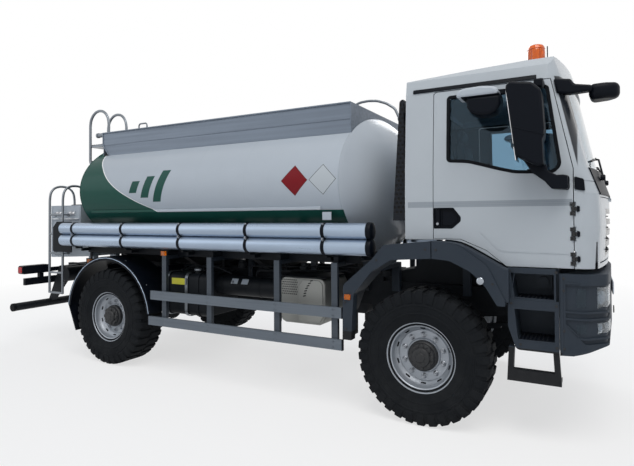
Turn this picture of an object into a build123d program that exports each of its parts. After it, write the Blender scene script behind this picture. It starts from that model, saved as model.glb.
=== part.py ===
from build123d import *
import math
import os

# Two-axle all-wheel-drive tanker truck.  All lengths are millimetres.
# X points forward and is counted from the front axle, Y points left, Z up from the ground.
# write() moves everything along X, so that the origin lies at the middle of the footprint.

# ---------------------------------------------------------------- driving dimensions
wheelbase = 3900
front_overhang = 1500          # front axle to the front of the front view mirror
rear_overhang = 2080           # rear axle to the back of the underrun bar
running_gap = 6                # between pieces that move past each other
seat_gap = 0.3                 # between pieces that only lie against each other

# wheels
tyre_radius = 575              # over the lugs
tread_radius = 549             # bottom of the grooves
tyre_half_width = 197
wheel_track = 2080             # between the middles of the two tyres
flange_radius = 301
flange_half_width = 168
bead_line = ((140, 268), (156, 301))   # (across, radius) where tyre and rim meet
lug_count = 24
spindle_radius = 48
spindle_clearance = seat_gap
hub_radius = 132
hub_reach = 176                # tyre middle to the outer face of the hub

# axles and steering
axle_tube_radius = 66
kingpin_y = 900
kingpin_radius = 34
pin_clearance = seat_gap
knuckle_height = 170
fork_height = 290
fork_arm = 46                  # thickness of each arm of the axle fork
steer_arm = 175                # kingpin to tie rod eye, straight back
steer_arm_drop = 60
steer_arm_half_height = 14
rod_eye_radius = 11
tie_rod_radius = 17

# frame
rail_half_spacing = 381        # outer faces of the two rails
rail_bottom = 850
rail_top = 1100
rail_flange = 76
rail_wall = 8
rail_front = 1180
rail_rear = -5840
crossmember_wall = 8
tow_z = 975
tow_radius = 25                # socket in the rear crossmember
tow_depth = 44
front_tow_radius = 22
front_tow_y = 360
front_tow_z = 975
front_tow_depth = 60

# cab
cab_rear = -150
cab_bottom = 1377
cab_wall = 62
cab_floor = 1640
cab_floor_thick = 60
arch_top = 1581                # underside of the cab over the wheel arch
door_front = 1172
door_rear = 104
door_top = 2858
glass_thick = 6
door_hinge_y = 1122            # the door turns about a pin in the skin, at its front edge
door_hinge_heights = (1450, 1640, 1830)
door_hinge_radius = 12
door_hinge_pin = 6
tilt_x = 1360                  # pins on which the cab tilts forward
tilt_z = 1222
tilt_pin = 14
tilt_arm_y = 350

# tank
tank_half_width = 1208
tank_half_height = 745
tank_z = 2130
tank_front = -755
tank_rear = -4450
dish_depth = 300
barrel_flats = 96
ledge_y = 1150
ledge_z = 1884
outlet_x = -4400
outlet_z = 1290
outlet_radius = 40
outlet_depth = 80

# coaming, the open box on top of the tank
coaming_y = 930                # outer faces
coaming_top = 2912
coaming_wall = 8
coaming_rear_top = -4355
coaming_rear_foot = -4245

# hose tubes along both sides
tube_radius = 75
tube_y = 1195
tube_heights = (1500, 1650)
tube_front = -446
tube_rear = -4700
clamp_places = (-909, -1797, -2712, -3625, -4533)

# side guards
guard_y = 1230
guard_depth = 30
guard_front = -725


def filleted_face(corners):
    """Closed face in its own plane.  A corner is (u, v) or (u, v, fillet radius)."""
    points = [(corner[0], corner[1]) for corner in corners]
    radii = [corner[2] if len(corner) > 2 else 0 for corner in corners]
    return make_face(FilletPolyline(*points, radius=radii, close=True))


def side_profile(corners, y0, y1):
    """Prism of an X-Z outline, from y0 to y1."""
    face = Plane.XZ.offset(-y0) * filleted_face(corners)
    return extrude(face, amount=-(y1 - y0))


def front_profile(corners, x0, x1):
    """Prism of a Y-Z outline, from x0 to x1."""
    face = Plane.YZ.offset(x0) * filleted_face(corners)
    return extrude(face, amount=x1 - x0)


def plan_profile(corners, z0, z1):
    """Prism of an X-Y outline, from z0 to z1."""
    face = Plane.XY.offset(z0) * filleted_face(corners)
    return extrude(face, amount=z1 - z0)


def block(x0, x1, y0, y1, z0, z1):
    return Pos((x0 + x1) / 2, (y0 + y1) / 2, (z0 + z1) / 2) * Box(x1 - x0, y1 - y0, z1 - z0)


def y_cylinder(x, z, radius, y0, y1):
    return Pos(x, (y0 + y1) / 2, z) * Rot(90, 0, 0) * Cylinder(radius, y1 - y0)


def x_cylinder(y, z, radius, x0, x1):
    return Pos((x0 + x1) / 2, y, z) * Rot(0, 90, 0) * Cylinder(radius, x1 - x0)


def z_cylinder(x, y, radius, z0, z1):
    return Pos(x, y, (z0 + z1) / 2) * Cylinder(radius, z1 - z0)


def other_side(shape):
    """The mirrored piece on the left of the truck."""
    return mirror(shape, about=Plane.XZ)


def both_sides(shape):
    return [shape, other_side(shape)]


def bend_stations(points, bends):
    """Points along straight runs joined by arcs, an arc being cut into short chords."""
    stations = [Vector(*points[0])]
    for before, corner, after, radius in zip(points, points[1:], points[2:], bends):
        corner = Vector(*corner)
        back = (Vector(*before) - corner).normalized()
        ahead = (Vector(*after) - corner).normalized()
        turn = math.pi - math.radians(back.get_angle(ahead))
        start = corner + back * (radius * math.tan(turn / 2))
        centre = corner + (back + ahead).normalized() * (radius / math.cos(turn / 2))
        chords = max(2, math.ceil(math.degrees(turn) / 20))
        for step in range(chords + 1):
            angle = turn * step / chords
            stations.append(centre + (start - centre) * math.cos(angle) - back * (radius * math.sin(angle)))
    stations.append(Vector(*points[-1]))
    return stations


def tube_path(points, radius, bends, flats=12):
    """Bar of flat sides along a path in one plane, mitred at every bend."""
    stations = bend_stations(points, bends)
    directions = [(b - a).normalized() for a, b in zip(stations, stations[1:])]
    normal = None
    for first, second in zip(directions, directions[1:]):
        if first.cross(second).length > 1e-6:
            normal = first.cross(second).normalized()
            break
    sections = []
    for index, station in enumerate(stations):
        before = directions[max(index - 1, 0)]
        after = directions[min(index, len(directions) - 1)]
        along = (before + after).normalized()
        across = normal.cross(along)
        stretch = 1 / along.dot(after)
        ring = []
        for side in range(flats):
            angle = 2 * math.pi * (side + 0.5) / flats
            ring.append(station + normal * (radius * math.cos(angle)) + across * (radius * stretch * math.sin(angle)))
        sections.append(make_face(Polyline(*ring, close=True)))
    return loft(sections, ruled=True)


# ---------------------------------------------------------------- wheels
def facet_wheel(outline, count, lugs=()):
    """Solid of revolution about Y in flat sectors, each with its own lugs.

    outline holds (across, radius) corners; lugs holds (from angle, to angle, from y, to y).
    """
    half = math.pi / count
    reach = 2 * tyre_radius
    face = make_face(Polyline(*outline, close=True))
    bar = extrude(Plane.YZ * face, amount=reach / 4, both=True)
    wedge = side_profile([(0, 0), (reach * math.tan(half), reach), (-reach * math.tan(half), reach)],
                         -reach, reach)
    sector = bar & wedge
    for start, end, y0, y1 in lugs:
        low, high = math.radians(start), math.radians(end)
        foot = tread_radius - 6
        tip = tyre_radius
        lug = side_profile([(foot * math.tan(low), foot), (foot * math.tan(high), foot),
                            (tip * math.tan(high), tip), (tip * math.tan(low), tip)], y0, y1)
        sector = sector + lug
    sectors = [Rot(0, 360 * index / count, 0) * sector for index in range(count)]
    return sectors[0].fuse(*sectors[1:])


def make_tyre():
    side = tyre_half_width
    flank = [(across - seat_gap, radius + seat_gap) for across, radius in bead_line]
    flank += [(side, 430), (side - 16, tread_radius)]
    outline = flank + [(-across, radius) for across, radius in reversed(flank)]
    pitch = 360 / lug_count
    outer = (-0.46 * pitch, -0.03 * pitch)
    inner = (0.03 * pitch, 0.46 * pitch)
    lugs = [(*outer, -side + 14, -30), (*inner, 30, side - 14)]
    return facet_wheel(outline, lug_count, lugs)


def make_wheel():
    """Steel rim, recessed disc and protruding hub, outer side towards -Y."""
    edge = flange_half_width
    bore = spindle_radius + spindle_clearance
    cap_inner = -hub_reach + 40
    lip = [(edge, flange_radius), (edge, 288), (edge - 30, 250)]
    seat = [(across, radius) for across, radius in bead_line]
    disc_outer = [(-90, 240), (-60, 222), (-60, hub_radius), (cap_inner, hub_radius), (cap_inner, bore)]
    disc_inner = [(40, bore), (40, 120), (-20, 120), (-44, 150), (-30, 236)]
    outline = (disc_inner + list(reversed(lip)) + list(reversed(seat)) + [(-across, radius) for across, radius in seat]
               + [(-across, radius) for across, radius in lip] + disc_outer)
    rim = facet_wheel(outline, lug_count)
    turn = 180 / lug_count
    sections = [Plane.XZ.offset(hub_reach) * RegularPolygon(hub_radius - 14, lug_count, False, rotation=turn),
                Plane.XZ.offset(hub_reach - 26) * RegularPolygon(hub_radius, lug_count, False, rotation=turn),
                Plane.XZ.offset(-cap_inner) * RegularPolygon(hub_radius, lug_count, False, rotation=turn)]
    return rim + loft(sections, ruled=True)


def wheel_places():
    """(name, X, side): right is -1, left is +1."""
    return [("front_right", 0, -1), ("front_left", 0, 1),
            ("rear_right", -wheelbase, -1), ("rear_left", -wheelbase, 1)]


def placed_wheel(shape, x, side):
    turn = 0 if side < 0 else 180
    return Pos(x, side * wheel_track / 2, tyre_radius) * Rot(0, 0, turn) * shape


# ---------------------------------------------------------------- axles, springs, steering
def make_front_axle():
    axle_z = tyre_radius
    beam = y_cylinder(0, axle_z, axle_tube_radius, -kingpin_y + 110, kingpin_y - 110)
    housing = Pos(0, 160, axle_z) * Rot(90, 0, 0) * Cone(145, 90, 150)
    cover = Pos(0, 10, axle_z) * Rot(90, 0, 0) * Cone(90, 145, 150)
    axle = beam + housing + cover
    half = fork_height / 2
    for side in (-1, 1):
        fork = front_profile([(kingpin_y - 130, axle_z - half), (kingpin_y + 52, axle_z - half, 20),
                              (kingpin_y + 52, axle_z - half + fork_arm), (kingpin_y - 80, axle_z - half + fork_arm),
                              (kingpin_y - 80, axle_z + half - fork_arm), (kingpin_y + 52, axle_z + half - fork_arm),
                              (kingpin_y + 52, axle_z + half, 20), (kingpin_y - 130, axle_z + half)], -52, 52)
        if side < 0:
            fork = mirror(fork, about=Plane.XZ)
        bore = z_cylinder(0, side * kingpin_y, kingpin_radius + pin_clearance, axle_z - half - 1, axle_z + half + 1)
        axle = axle + fork - bore
    return axle


def make_knuckle(side):
    """Steering knuckle: kingpin, spindle, brake flange and steering arm."""
    axle_z = tyre_radius
    half = fork_height / 2
    y = side * kingpin_y
    barrel = z_cylinder(0, y, 56, axle_z - knuckle_height / 2, axle_z + knuckle_height / 2)
    pin = z_cylinder(0, y, kingpin_radius, axle_z - half, axle_z + half)
    spindle_end = side * (wheel_track / 2 + hub_reach - 44)
    y0, y1 = sorted((y, spindle_end))
    spindle = y_cylinder(0, axle_z, spindle_radius, y0, y1)
    f0, f1 = sorted((side * (kingpin_y + 60), side * (kingpin_y + 90)))
    flange_room = fork_height / 2 - fork_arm - running_gap
    flange = y_cylinder(0, axle_z, flange_room, f0, f1)
    arm_z = axle_z - steer_arm_drop
    low, high = arm_z - steer_arm_half_height, arm_z + steer_arm_half_height
    arm = block(-steer_arm, 0, y - 22, y + 22, low, high)
    eye = z_cylinder(-steer_arm, y, 28, low, high)
    hole = z_cylinder(-steer_arm, y, rod_eye_radius, low - 6, high + 6)
    return barrel + pin + spindle + flange + arm + eye - hole


def make_tie_rod():
    """Rod behind the axle; each end has a stud that stands in a steering arm's eye."""
    stud_z = tyre_radius - steer_arm_drop
    head = tie_rod_radius + 2
    rod_z = stud_z - steer_arm_half_height - running_gap - head
    rod = y_cylinder(-steer_arm, rod_z, tie_rod_radius, -kingpin_y, kingpin_y)
    for side in (-1, 1):
        end_y = side * kingpin_y
        rod = rod + z_cylinder(-steer_arm, end_y, 26, rod_z - head, rod_z + head)
        stud_top = stud_z + steer_arm_half_height - 2
        rod = rod + z_cylinder(-steer_arm, end_y, rod_eye_radius - pin_clearance, rod_z, stud_top)
    return rod


def make_rear_axle():
    axle_z = tyre_radius
    end = wheel_track / 2 + hub_reach - 44
    x = -wheelbase
    beam = y_cylinder(x, axle_z, 76, -wheel_track / 2 + 120, wheel_track / 2 - 120)
    spindle = y_cylinder(x, axle_z, spindle_radius, -end, end)
    front_cone = Pos(x, 75, axle_z) * Rot(90, 0, 0) * Cone(205, 110, 150)
    rear_cone = Pos(x, -75, axle_z) * Rot(90, 0, 0) * Cone(110, 205, 150)
    nose = x_cylinder(0, axle_z, 82, x, x + 330)
    axle = beam + spindle + front_cone + rear_cone + nose
    for side in (-1, 1):
        f0, f1 = sorted((side * (wheel_track / 2 - 90), side * (wheel_track / 2 - 60)))
        axle = axle + y_cylinder(x, axle_z, 150, f0, f1)
    return axle


def make_spring(x, length, leaves, tube_radius_here):
    """Leaf pack from its two hangers under the rail down to the axle seat."""
    y = rail_half_spacing - rail_flange / 2
    seat_z = tyre_radius + tube_radius_here
    rise = rail_bottom - seat_z - 60
    solids = []
    for leaf in range(leaves):
        half = length / 2 - 110 * leaf
        thick = 14
        low = seat_z + 34 + (leaves - 1 - leaf) * thick
        drop = rise * (half / (length / 2)) ** 2 * 0.62
        lower = ThreePointArc((x - half, low + drop), (x, low), (x + half, low + drop))
        upper = ThreePointArc((x + half, low + drop + thick), (x, low + thick), (x - half, low + drop + thick))
        ends = [Line(lower @ 1, upper @ 0), Line(upper @ 1, lower @ 0)]
        face = make_face([lower, ends[0], upper, ends[1]])
        solids.append(extrude(Plane.XZ.offset(-(y - 36)) * face, amount=-72))
    pack = solids[0].fuse(*solids[1:])
    saddle = block(x - 95, x + 95, y - 48, y + 48, seat_z - 10, seat_z + 34 + leaves * 14 + 10)
    seat = y_cylinder(x, tyre_radius, tube_radius_here + seat_gap, y - 60, y + 60)
    pack = pack + (saddle - seat)
    for end in (-1, 1):
        hanger_x = x + end * (length / 2 - 26)
        hanger = side_profile([(hanger_x - 52, rail_bottom - seat_gap), (hanger_x - 24, seat_z + 90),
                               (hanger_x + 24, seat_z + 90), (hanger_x + 52, rail_bottom - seat_gap)],
                              y - 34, y + 34)
        pack = pack + hanger
    return pack


def make_springs():
    front = make_spring(0, 1500, 3, axle_tube_radius)
    rear = make_spring(-wheelbase, 1560, 4, 76)
    return both_sides(front) + both_sides(rear)


# ---------------------------------------------------------------- frame and driveline
def make_rails():
    y1 = rail_half_spacing
    y0 = y1 - rail_flange
    corners = [(y1, rail_bottom), (y1, rail_top), (y0, rail_top), (y0, rail_top - rail_wall),
               (y1 - rail_wall, rail_top - rail_wall), (y1 - rail_wall, rail_bottom + rail_wall),
               (y0, rail_bottom + rail_wall), (y0, rail_bottom)]
    rail = front_profile(corners, rail_rear, rail_front)
    return both_sides(rail)


def make_crossmembers():
    reach = rail_half_spacing - rail_wall - seat_gap
    members = []
    for x in (1120, -1330, -1900, -2600, -3300, -4560, -5180):
        low, high = rail_bottom + 20, rail_top - 20
        front = x + crossmember_wall
        web = block(x, front, -reach, reach, low, high)
        foot = block(x - 56, front, -reach, reach, low, low + crossmember_wall)
        head = block(x - 56, front, -reach, reach, high - crossmember_wall, high)
        members.append(web + foot + head)
    tail_x = rail_rear + 2
    tail = block(tail_x, tail_x + 12, -reach, reach, rail_bottom + 12, rail_top - 12)
    hole = x_cylinder(0, tow_z, tow_radius, tail_x - 1, tail_x + tow_depth + 1)
    boss = x_cylinder(0, tow_z, tow_radius + 34, tail_x, tail_x + tow_depth)
    members.append(tail + boss - hole)
    return members


engine_half_width = 290
shaft_radius = 45


def make_driveline():
    """Engine with gearbox as one plain block, transfer case and its two propeller shafts."""
    engine = side_profile([(860, 860, 40), (860, 1480, 60), (-120, 1480, 60), (-330, 1240), (-900, 1120),
                           (-900, 850), (-330, 790), (-120, 760, 40)], -engine_half_width, engine_half_width)
    transfer = side_profile([(-1260, 700, 50), (-900 - seat_gap, 700, 50), (-900 - seat_gap, 1060, 50),
                             (-1260, 1060, 50)], -190, 190)
    rear_shaft = x_cylinder(0, tyre_radius + 150, shaft_radius, -wheelbase + 420, -1260)
    rear_joint = side_profile([(-wheelbase + 330 + seat_gap, tyre_radius - 60), (-wheelbase + 430, tyre_radius - 60),
                               (-wheelbase + 470, tyre_radius + 205), (-wheelbase + 400, tyre_radius + 205)], -55, 55)
    front_shaft = x_cylinder(160, tyre_radius + 20, shaft_radius, -1000, -180)
    front_joint = block(-1060, -1000, 100, 220, 560, 760)
    return [engine, transfer + rear_shaft + rear_joint + front_shaft + front_joint]


# ---------------------------------------------------------------- under the tank
def make_fuel_tank():
    """Rectangular tank on the right, with two straps and their brackets to the rail."""
    body = front_profile([(-1050, 661, 70), (-1050, 1140, 70), (-460, 1140, 70), (-460, 661, 70)], -3116, -2490)
    cap = z_cylinder(-2700, -930, 45, 1130, 1175)
    straps = None
    for x in (-3060, -2620):
        strap = front_profile([(-1058, 653, 76), (-1058, 1148, 76), (-452, 1148, 76), (-452, 653, 76)],
                              x - 22, x + 22)
        bracket = block(x - 22, x + 22, -470, -rail_half_spacing - seat_gap, 900, 1080)
        straps = strap + bracket if straps is None else straps + strap + bracket
    return body + cap + straps


def make_air_tanks():
    """Long cylinder behind the side guard and a short one ahead of the underrun bar."""
    long_tank = x_cylinder(-800, 1007, 110, -2489 + 8, -1624)
    solids = [long_tank]
    for x in (-2200, -1830):
        arm = block(x - 25, x + 25, -710, -rail_half_spacing - seat_gap, 950, 1060)
        solids[0] = solids[0] + arm
    short_tank = y_cylinder(-5330, 985, 105, -800, -420)
    mount = block(-5370, -5290, -470, -rail_half_spacing - seat_gap, 930, 1040)
    solids.append(short_tank + mount)
    return solids


def make_silencer():
    """Box silencer with a perforated shield and a tailpipe."""
    box = front_profile([(-1000, 700, 60), (-1000, 1165, 60), (-470, 1165, 60), (-470, 700, 60)], -1541, -1018)
    arm = block(-1400, -1300, -480, -rail_half_spacing - seat_gap, 900, 1060)
    pipe = y_cylinder(-1160, 740, 55, -1080, -980)
    return box + arm + pipe


def make_side_guards():
    """Two aluminium rails on four posts, each side."""
    rails = None
    for z0, z1, rear in ((552, 650, -3202), (845, 945, -3170)):
        rail = block(rear, guard_front, -guard_y, -guard_y + guard_depth, z0, z1)
        lip = block(rear + 1, guard_front - 1, -guard_y + 6, -guard_y + guard_depth, z0 + 38, z1 - 38)
        rail = rail - Pos(0, 8, 0) * block(rear - 1, guard_front + 1, -guard_y + 6, -guard_y + guard_depth + 1,
                                           z0 + 10, z1 - 10) + lip
        rails = rail if rails is None else rails + rail
    inner = guard_y - guard_depth
    posts = []
    for x in (-815, -1455, -2320, -2980):
        post = block(x - 32, x + 32, -inner, -inner + 40, 560, 1352)
        posts.append(post)
        top = block(x - 32, x + 32, -inner + 40, -rail_half_spacing - seat_gap, 1312, 1352)
        drop = block(x - 32, x + 32, -rail_half_spacing - 60, -rail_half_spacing - seat_gap, 1000, 1320)
        rails = rails + post + top + drop
    return both_sides(rails)


# ---------------------------------------------------------------- fenders and steps
fender_outer_y = 1237
fender_lamp = (508, 1261)
# x, outer y, inner y, bottom, top
side_lamps = ((-2980, 1222, 1192, 1352.3, 1402), (-4533, 1013, 973, 1197, 1244), (-661, 1251, 1237.3, 1028, 1074))
fender_inner_y = 930
fender_thick = 14
step_back = -882               # back of the lower step's recess


def arch_band(centre_x, centre_z, radius_in, radius_out, start, end, y0, y1):
    """Part of a ring about a wheel, between two angles counted from +X upwards."""
    inner0 = (centre_x + radius_in * math.cos(start), centre_z + radius_in * math.sin(start))
    inner1 = (centre_x + radius_in * math.cos(end), centre_z + radius_in * math.sin(end))
    outer0 = (centre_x + radius_out * math.cos(start), centre_z + radius_out * math.sin(start))
    outer1 = (centre_x + radius_out * math.cos(end), centre_z + radius_out * math.sin(end))
    middle = (start + end) / 2
    inner_mid = (centre_x + radius_in * math.cos(middle), centre_z + radius_in * math.sin(middle))
    outer_mid = (centre_x + radius_out * math.cos(middle), centre_z + radius_out * math.sin(middle))
    face = make_face([ThreePointArc(inner0, inner_mid, inner1), Line(inner1, outer1),
                      ThreePointArc(outer1, outer_mid, outer0), Line(outer0, inner0)])
    return extrude(Plane.XZ.offset(-y0) * face, amount=-(y1 - y0))


def make_front_fenders():
    """Wheel arch in two parts: the front one runs to the steps, the rear one hangs behind the wheel."""
    front_outer = [(114, 1570), (186, 1572, 60), (340, 1540, 200), (560, 1385, 200), (690, 1120), (690, 1070),
                   (632, 1070), (545, 1215, 200), (430, 1330, 200), (260, 1412, 100), (114, 1425)]
    front_part = side_profile(front_outer, -fender_outer_y, -fender_outer_y + 120)
    shelf_out = [(114, 1445), (260, 1435, 100), (445, 1350, 200), (565, 1230, 200), (652, 1080),
                 (632, 1070), (545, 1215, 200), (430, 1330, 200), (260, 1412, 100), (114, 1425)]
    front_shelf = side_profile(shelf_out, -fender_outer_y, -fender_inner_y)
    rear_outer = [(106, 1570), (-318, 1531, 60), (-421, 1404), (-708, 1157, 60), (-716, 660), (-630, 660),
                  (-604, 1080, 60), (-430, 1290, 80), (-250, 1400, 80), (106, 1425)]
    rear_part = side_profile(rear_outer, -fender_outer_y, -fender_outer_y + 90)
    rear_shelf = [(106, 1445), (-250, 1420, 80), (-442, 1306, 80), (-640, 1110, 60), (-714, 900), (-714, 660),
                  (-694, 660), (-692, 890), (-618, 1085, 60), (-430, 1290, 80), (-250, 1400, 80), (106, 1425)]
    rear_part = rear_part + side_profile(rear_shelf, -fender_outer_y, -fender_inner_y)
    stay = block(-520, -440, -fender_inner_y - 20, -rail_half_spacing - seat_gap, 1270, 1310)
    stay = stay + block(-520, -440, -rail_half_spacing - 70, -rail_half_spacing - seat_gap, 1010, 1280)
    rear_part = rear_part + stay
    front_solid = front_part + front_shelf
    front_stay = block(200, 270, -fender_inner_y - 20, -rail_half_spacing - seat_gap, 1415, 1440)
    front_stay = front_stay + block(200, 270, -rail_half_spacing - 70, -rail_half_spacing - seat_gap, 1010, 1440)
    front_solid = front_solid + front_stay
    return both_sides(front_solid) + both_sides(rear_part)


def make_step_boxes():
    """Entry steps under each door: three treads, and a hanging step below."""
    outer = 1150
    outline = [(700, 1369), (1066, 1369), (1066, 726, 20), (760, 726, 40), (700, 905)]
    body = side_profile(outline, -outer, -760)
    upper = side_profile([(752, 1131), (1036, 1131), (1036, 1330), (722, 1330)], -outer - 1, -900)
    lower = side_profile([(772, 811), (1036, 811), (1036, 1046), (748, 1046)], -outer - 1, step_back)
    body = body - upper - lower
    hollow = block(724, 1042, step_back + fender_thick, -759, 760, 1350)
    body = body - hollow
    hanger = side_profile([(702, 743), (1062, 743), (1078, 475), (687, 475)], -outer + 12, -outer + 72)
    window = side_profile([(745, 760), (1020, 760), (1030, 568), (735, 568)], -outer, -outer + 90)
    tread = block(689, 1076, -outer + 12, -outer + 190, 475, 500)
    body = body + (hanger - window) + tread
    pad = side_profile([(900, 1190, 10), (880, 1310, 10), (1010, 1310, 10), (1010, 1190, 10)], -930, -895)
    knob = y_cylinder(950, 1250, 36, -950, -925)
    gutter = block(1048, 1067, -outer - 1, -outer + 60, 1120, 1370)
    stay = block(860, 1000, -880, -rail_half_spacing - seat_gap, 1010, 1070)
    body = body + pad + knob - gutter + stay
    return both_sides(body)


def make_rear_mudguards():
    """Round mudguards over the rear wheels, with rubber flaps behind them."""
    guard = arch_band(-wheelbase, tyre_radius, 722, 738, math.radians(8), math.radians(172),
                      -1240, -840)
    lip = arch_band(-wheelbase, tyre_radius, 690, 738, math.radians(8), math.radians(172), -1240, -1228)
    guard = guard + lip
    flap = side_profile([(-4634, 690), (-4618, 690), (-4470, 360), (-4486, 355)], -1235, -850)
    stays = None
    for x in (-3480, -4330):
        stay = block(x - 25, x + 25, -850, -rail_half_spacing - seat_gap, 1110, 1172)
        foot = block(x - 25, x + 25, -rail_half_spacing - 60, -rail_half_spacing - seat_gap, 960, 1110)
        stays = stay + foot if stays is None else stays + stay + foot
    return both_sides(guard + flap + stays)


# ---------------------------------------------------------------- tank, cradle and coaming
def tank_section(x, scale_here, grow=0.0):
    ellipse = Ellipse(tank_half_width * scale_here + grow, tank_half_height * scale_here + grow)
    return Plane.YZ.offset(x) * (Pos(0, tank_z) * ellipse)


def barrel_section(x, size, grow):
    """The tank's ellipse in barrel_flats straight sides, so that the tank is all flat faces."""
    ring = []
    for index in range(barrel_flats):
        angle = 2 * math.pi * index / barrel_flats
        y = (tank_half_width * size + grow) * math.cos(angle)
        z = (tank_half_height * size + grow) * math.sin(angle)
        ring.append((x, y, tank_z + z))
    return make_face(Polyline(*ring, close=True))


def make_barrel(grow=0.0):
    """Elliptical barrel with two dished ends; each ring is (share of the depth, size of the section)."""
    rings = ((0.0, 1.0), (0.16, 0.97), (0.42, 0.87), (0.68, 0.70), (0.88, 0.46), (1.0, 0.16))
    barrel = extrude(barrel_section(tank_rear, 1.0, grow), amount=tank_front - tank_rear, dir=(1, 0, 0))
    for end_x, direction in ((tank_front, 1), (tank_rear, -1)):
        sections = [barrel_section(end_x + direction * share * dish_depth, size, grow) for share, size in rings]
        barrel = barrel + loft(sections, ruled=True)
    return barrel


def make_tank():
    """Barrel with a ledge along each flank."""
    ledge = block(-4300, -986, -ledge_y, -ledge_y + 60, ledge_z - 34, ledge_z)
    return make_barrel() + ledge + other_side(ledge)


def make_outlet_pipe():
    """Flanged discharge pipe under the tank; its mouth points down."""
    top = tank_z - tank_half_height - seat_gap
    stub = z_cylinder(outlet_x, 0, outlet_radius + 14, outlet_z, top)
    flange = z_cylinder(outlet_x, 0, outlet_radius + 42, outlet_z, outlet_z + 18)
    bore = z_cylinder(outlet_x, 0, outlet_radius, outlet_z - 1, outlet_z + outlet_depth)
    return stub + flange - bore


def make_tank_cradle():
    """Long bearers on the rails and four saddles that hold the barrel."""
    y1 = rail_half_spacing
    y0 = y1 - rail_flange
    bearer = block(-5420, -640, y0, y1, rail_top + seat_gap, rail_top + 80)
    cradle = bearer + other_side(bearer)
    barrel = extrude(tank_section(tank_rear - 10, 1.0, seat_gap), amount=tank_front - tank_rear + 20)
    for x in (-1000, -2080, -3160, -4240):
        saddle = front_profile([(-860, 1500), (-860, 1400), (-460, rail_top + 80), (-y0, rail_top + 40),
                                (y0, rail_top + 40), (460, rail_top + 80), (860, 1400), (860, 1500)],
                               x - 40, x + 40)
        cradle = cradle + (saddle - barrel)
    return cradle


def make_coaming():
    """Walls of the open box on the tank: two sides, a front and a sloped rear plate."""
    foot = tank_z + tank_half_height * math.sqrt(1 - (coaming_y / tank_half_width) ** 2)
    side = side_profile([(tank_front + 2, foot + 1), (tank_front + 2, coaming_top), (coaming_rear_top, coaming_top),
                         (coaming_rear_top - 6, 2745), (coaming_rear_foot, foot + 1)],
                        -coaming_y, -coaming_y + coaming_wall)
    rim = block(coaming_rear_top, tank_front, -coaming_y + coaming_wall, -coaming_y + 40, coaming_top - 6, coaming_top)
    side = side + rim
    barrel = extrude(tank_section(tank_rear, 1.0, seat_gap), amount=tank_front - tank_rear + 400)
    front_plate = front_profile([(-coaming_y + coaming_wall, foot), (coaming_y - coaming_wall, foot),
                                 (coaming_y - coaming_wall, coaming_top), (-coaming_y + coaming_wall, coaming_top)],
                                tank_front - 6, tank_front + 2)
    rear_plate = front_profile([(-coaming_y + coaming_wall, foot), (coaming_y - coaming_wall, foot),
                                (coaming_y - coaming_wall, coaming_top), (-coaming_y + coaming_wall, coaming_top)],
                               coaming_rear_top, coaming_rear_top + 8)
    return side + other_side(side) + front_plate + rear_plate - barrel


def make_vent_pipes():
    """Breather pipe over the front dish, pipe end behind the coaming and the grab handles."""
    vent = tube_path([(-1000, -300, 2800), (-1000, -300, 3062), (-560, -300, 3010), (-450, -300, 2770),
                      (-660, -300, 2640)], 16, [90, 90, 70])
    rear_end = x_cylinder(-845, 2905, 28, -4576, coaming_rear_top - seat_gap)
    handle = tube_path([(-3826, -800, deck_top + seat_gap), (-3826, -800, 3003), (-3681, -800, 3003),
                        (-3681, -800, deck_top + seat_gap)], 10, [40, 40])
    return [vent - make_barrel(seat_gap), rear_end] + both_sides(handle)


deck_top = 2886
manhole_x = (-1500, -3000)
manhole_radius = 250
manhole_height = 110
lid_thick = 22
lid_hinge_reach = 300          # manhole middle to the lid's hinge pin
lid_pin = 8


def make_walkway():
    """Grating along the top of the tank, and the two manhole necks."""
    barrel = extrude(tank_section(tank_rear, 1.0, seat_gap), amount=tank_front - tank_rear)
    solids = []
    for y0, y1 in ((-880, -560), (560, 880)):
        deck = block(coaming_rear_top + 60, tank_front - 60, y0, y1, deck_top - 18, deck_top)
        for x in (-1000, -2000, -3000, -4000):
            deck = deck + (block(x - 20, x + 20, y0, y1, 2600, deck_top - 16) - barrel)
        solids.append(deck)
    top = tank_z + tank_half_height
    for x in manhole_x:
        neck = z_cylinder(x, 0, manhole_radius, top - 60, top + manhole_height)
        pin_x = x - lid_hinge_reach
        pin_z = lid_seat_z + lid_thick / 2
        for side in (-1, 1):
            y0, y1 = sorted((side * 66, side * 78))
            cheek = side_profile([(x - manhole_radius + 10, lid_seat_z - 60), (x - manhole_radius + 10, lid_seat_z - 6),
                                  (pin_x + 12, lid_seat_z - 6), (pin_x + 12, pin_z + 12), (pin_x - 12, pin_z + 12),
                                  (pin_x - 12, lid_seat_z - 30)], y0, y1)
            neck = neck + cheek
        neck = neck - z_cylinder(x, 0, manhole_radius - 12, top - 61, top + manhole_height + 1)
        neck = neck + y_cylinder(pin_x, pin_z, lid_pin, -78, 78)
        solids.append(neck - barrel)
    return solids


lid_seat_z = tank_z + tank_half_height + manhole_height + seat_gap


def make_manhole_lid(x):
    lid = z_cylinder(x, 0, manhole_radius + 20, lid_seat_z, lid_seat_z + lid_thick)
    knob = z_cylinder(x, 0, 60, lid_seat_z + 20, lid_seat_z + 60)
    pin_x = x - lid_hinge_reach
    pin_z = lid_seat_z + lid_thick / 2
    ears = block(pin_x, x - manhole_radius + 10, -60, 60, lid_seat_z, lid_seat_z + lid_thick)
    ears = ears + y_cylinder(pin_x, pin_z, lid_thick / 2, -60, 60)
    return lid + knob + ears - y_cylinder(pin_x, pin_z, lid_pin + pin_clearance, -61, 61)


# ---------------------------------------------------------------- hose tubes
def make_hose_tubes():
    tubes = []
    for z in tube_heights:
        tube = x_cylinder(-tube_y, z, tube_radius, tube_rear, tube_front)
        tubes.extend(both_sides(tube))
    return tubes


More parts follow.
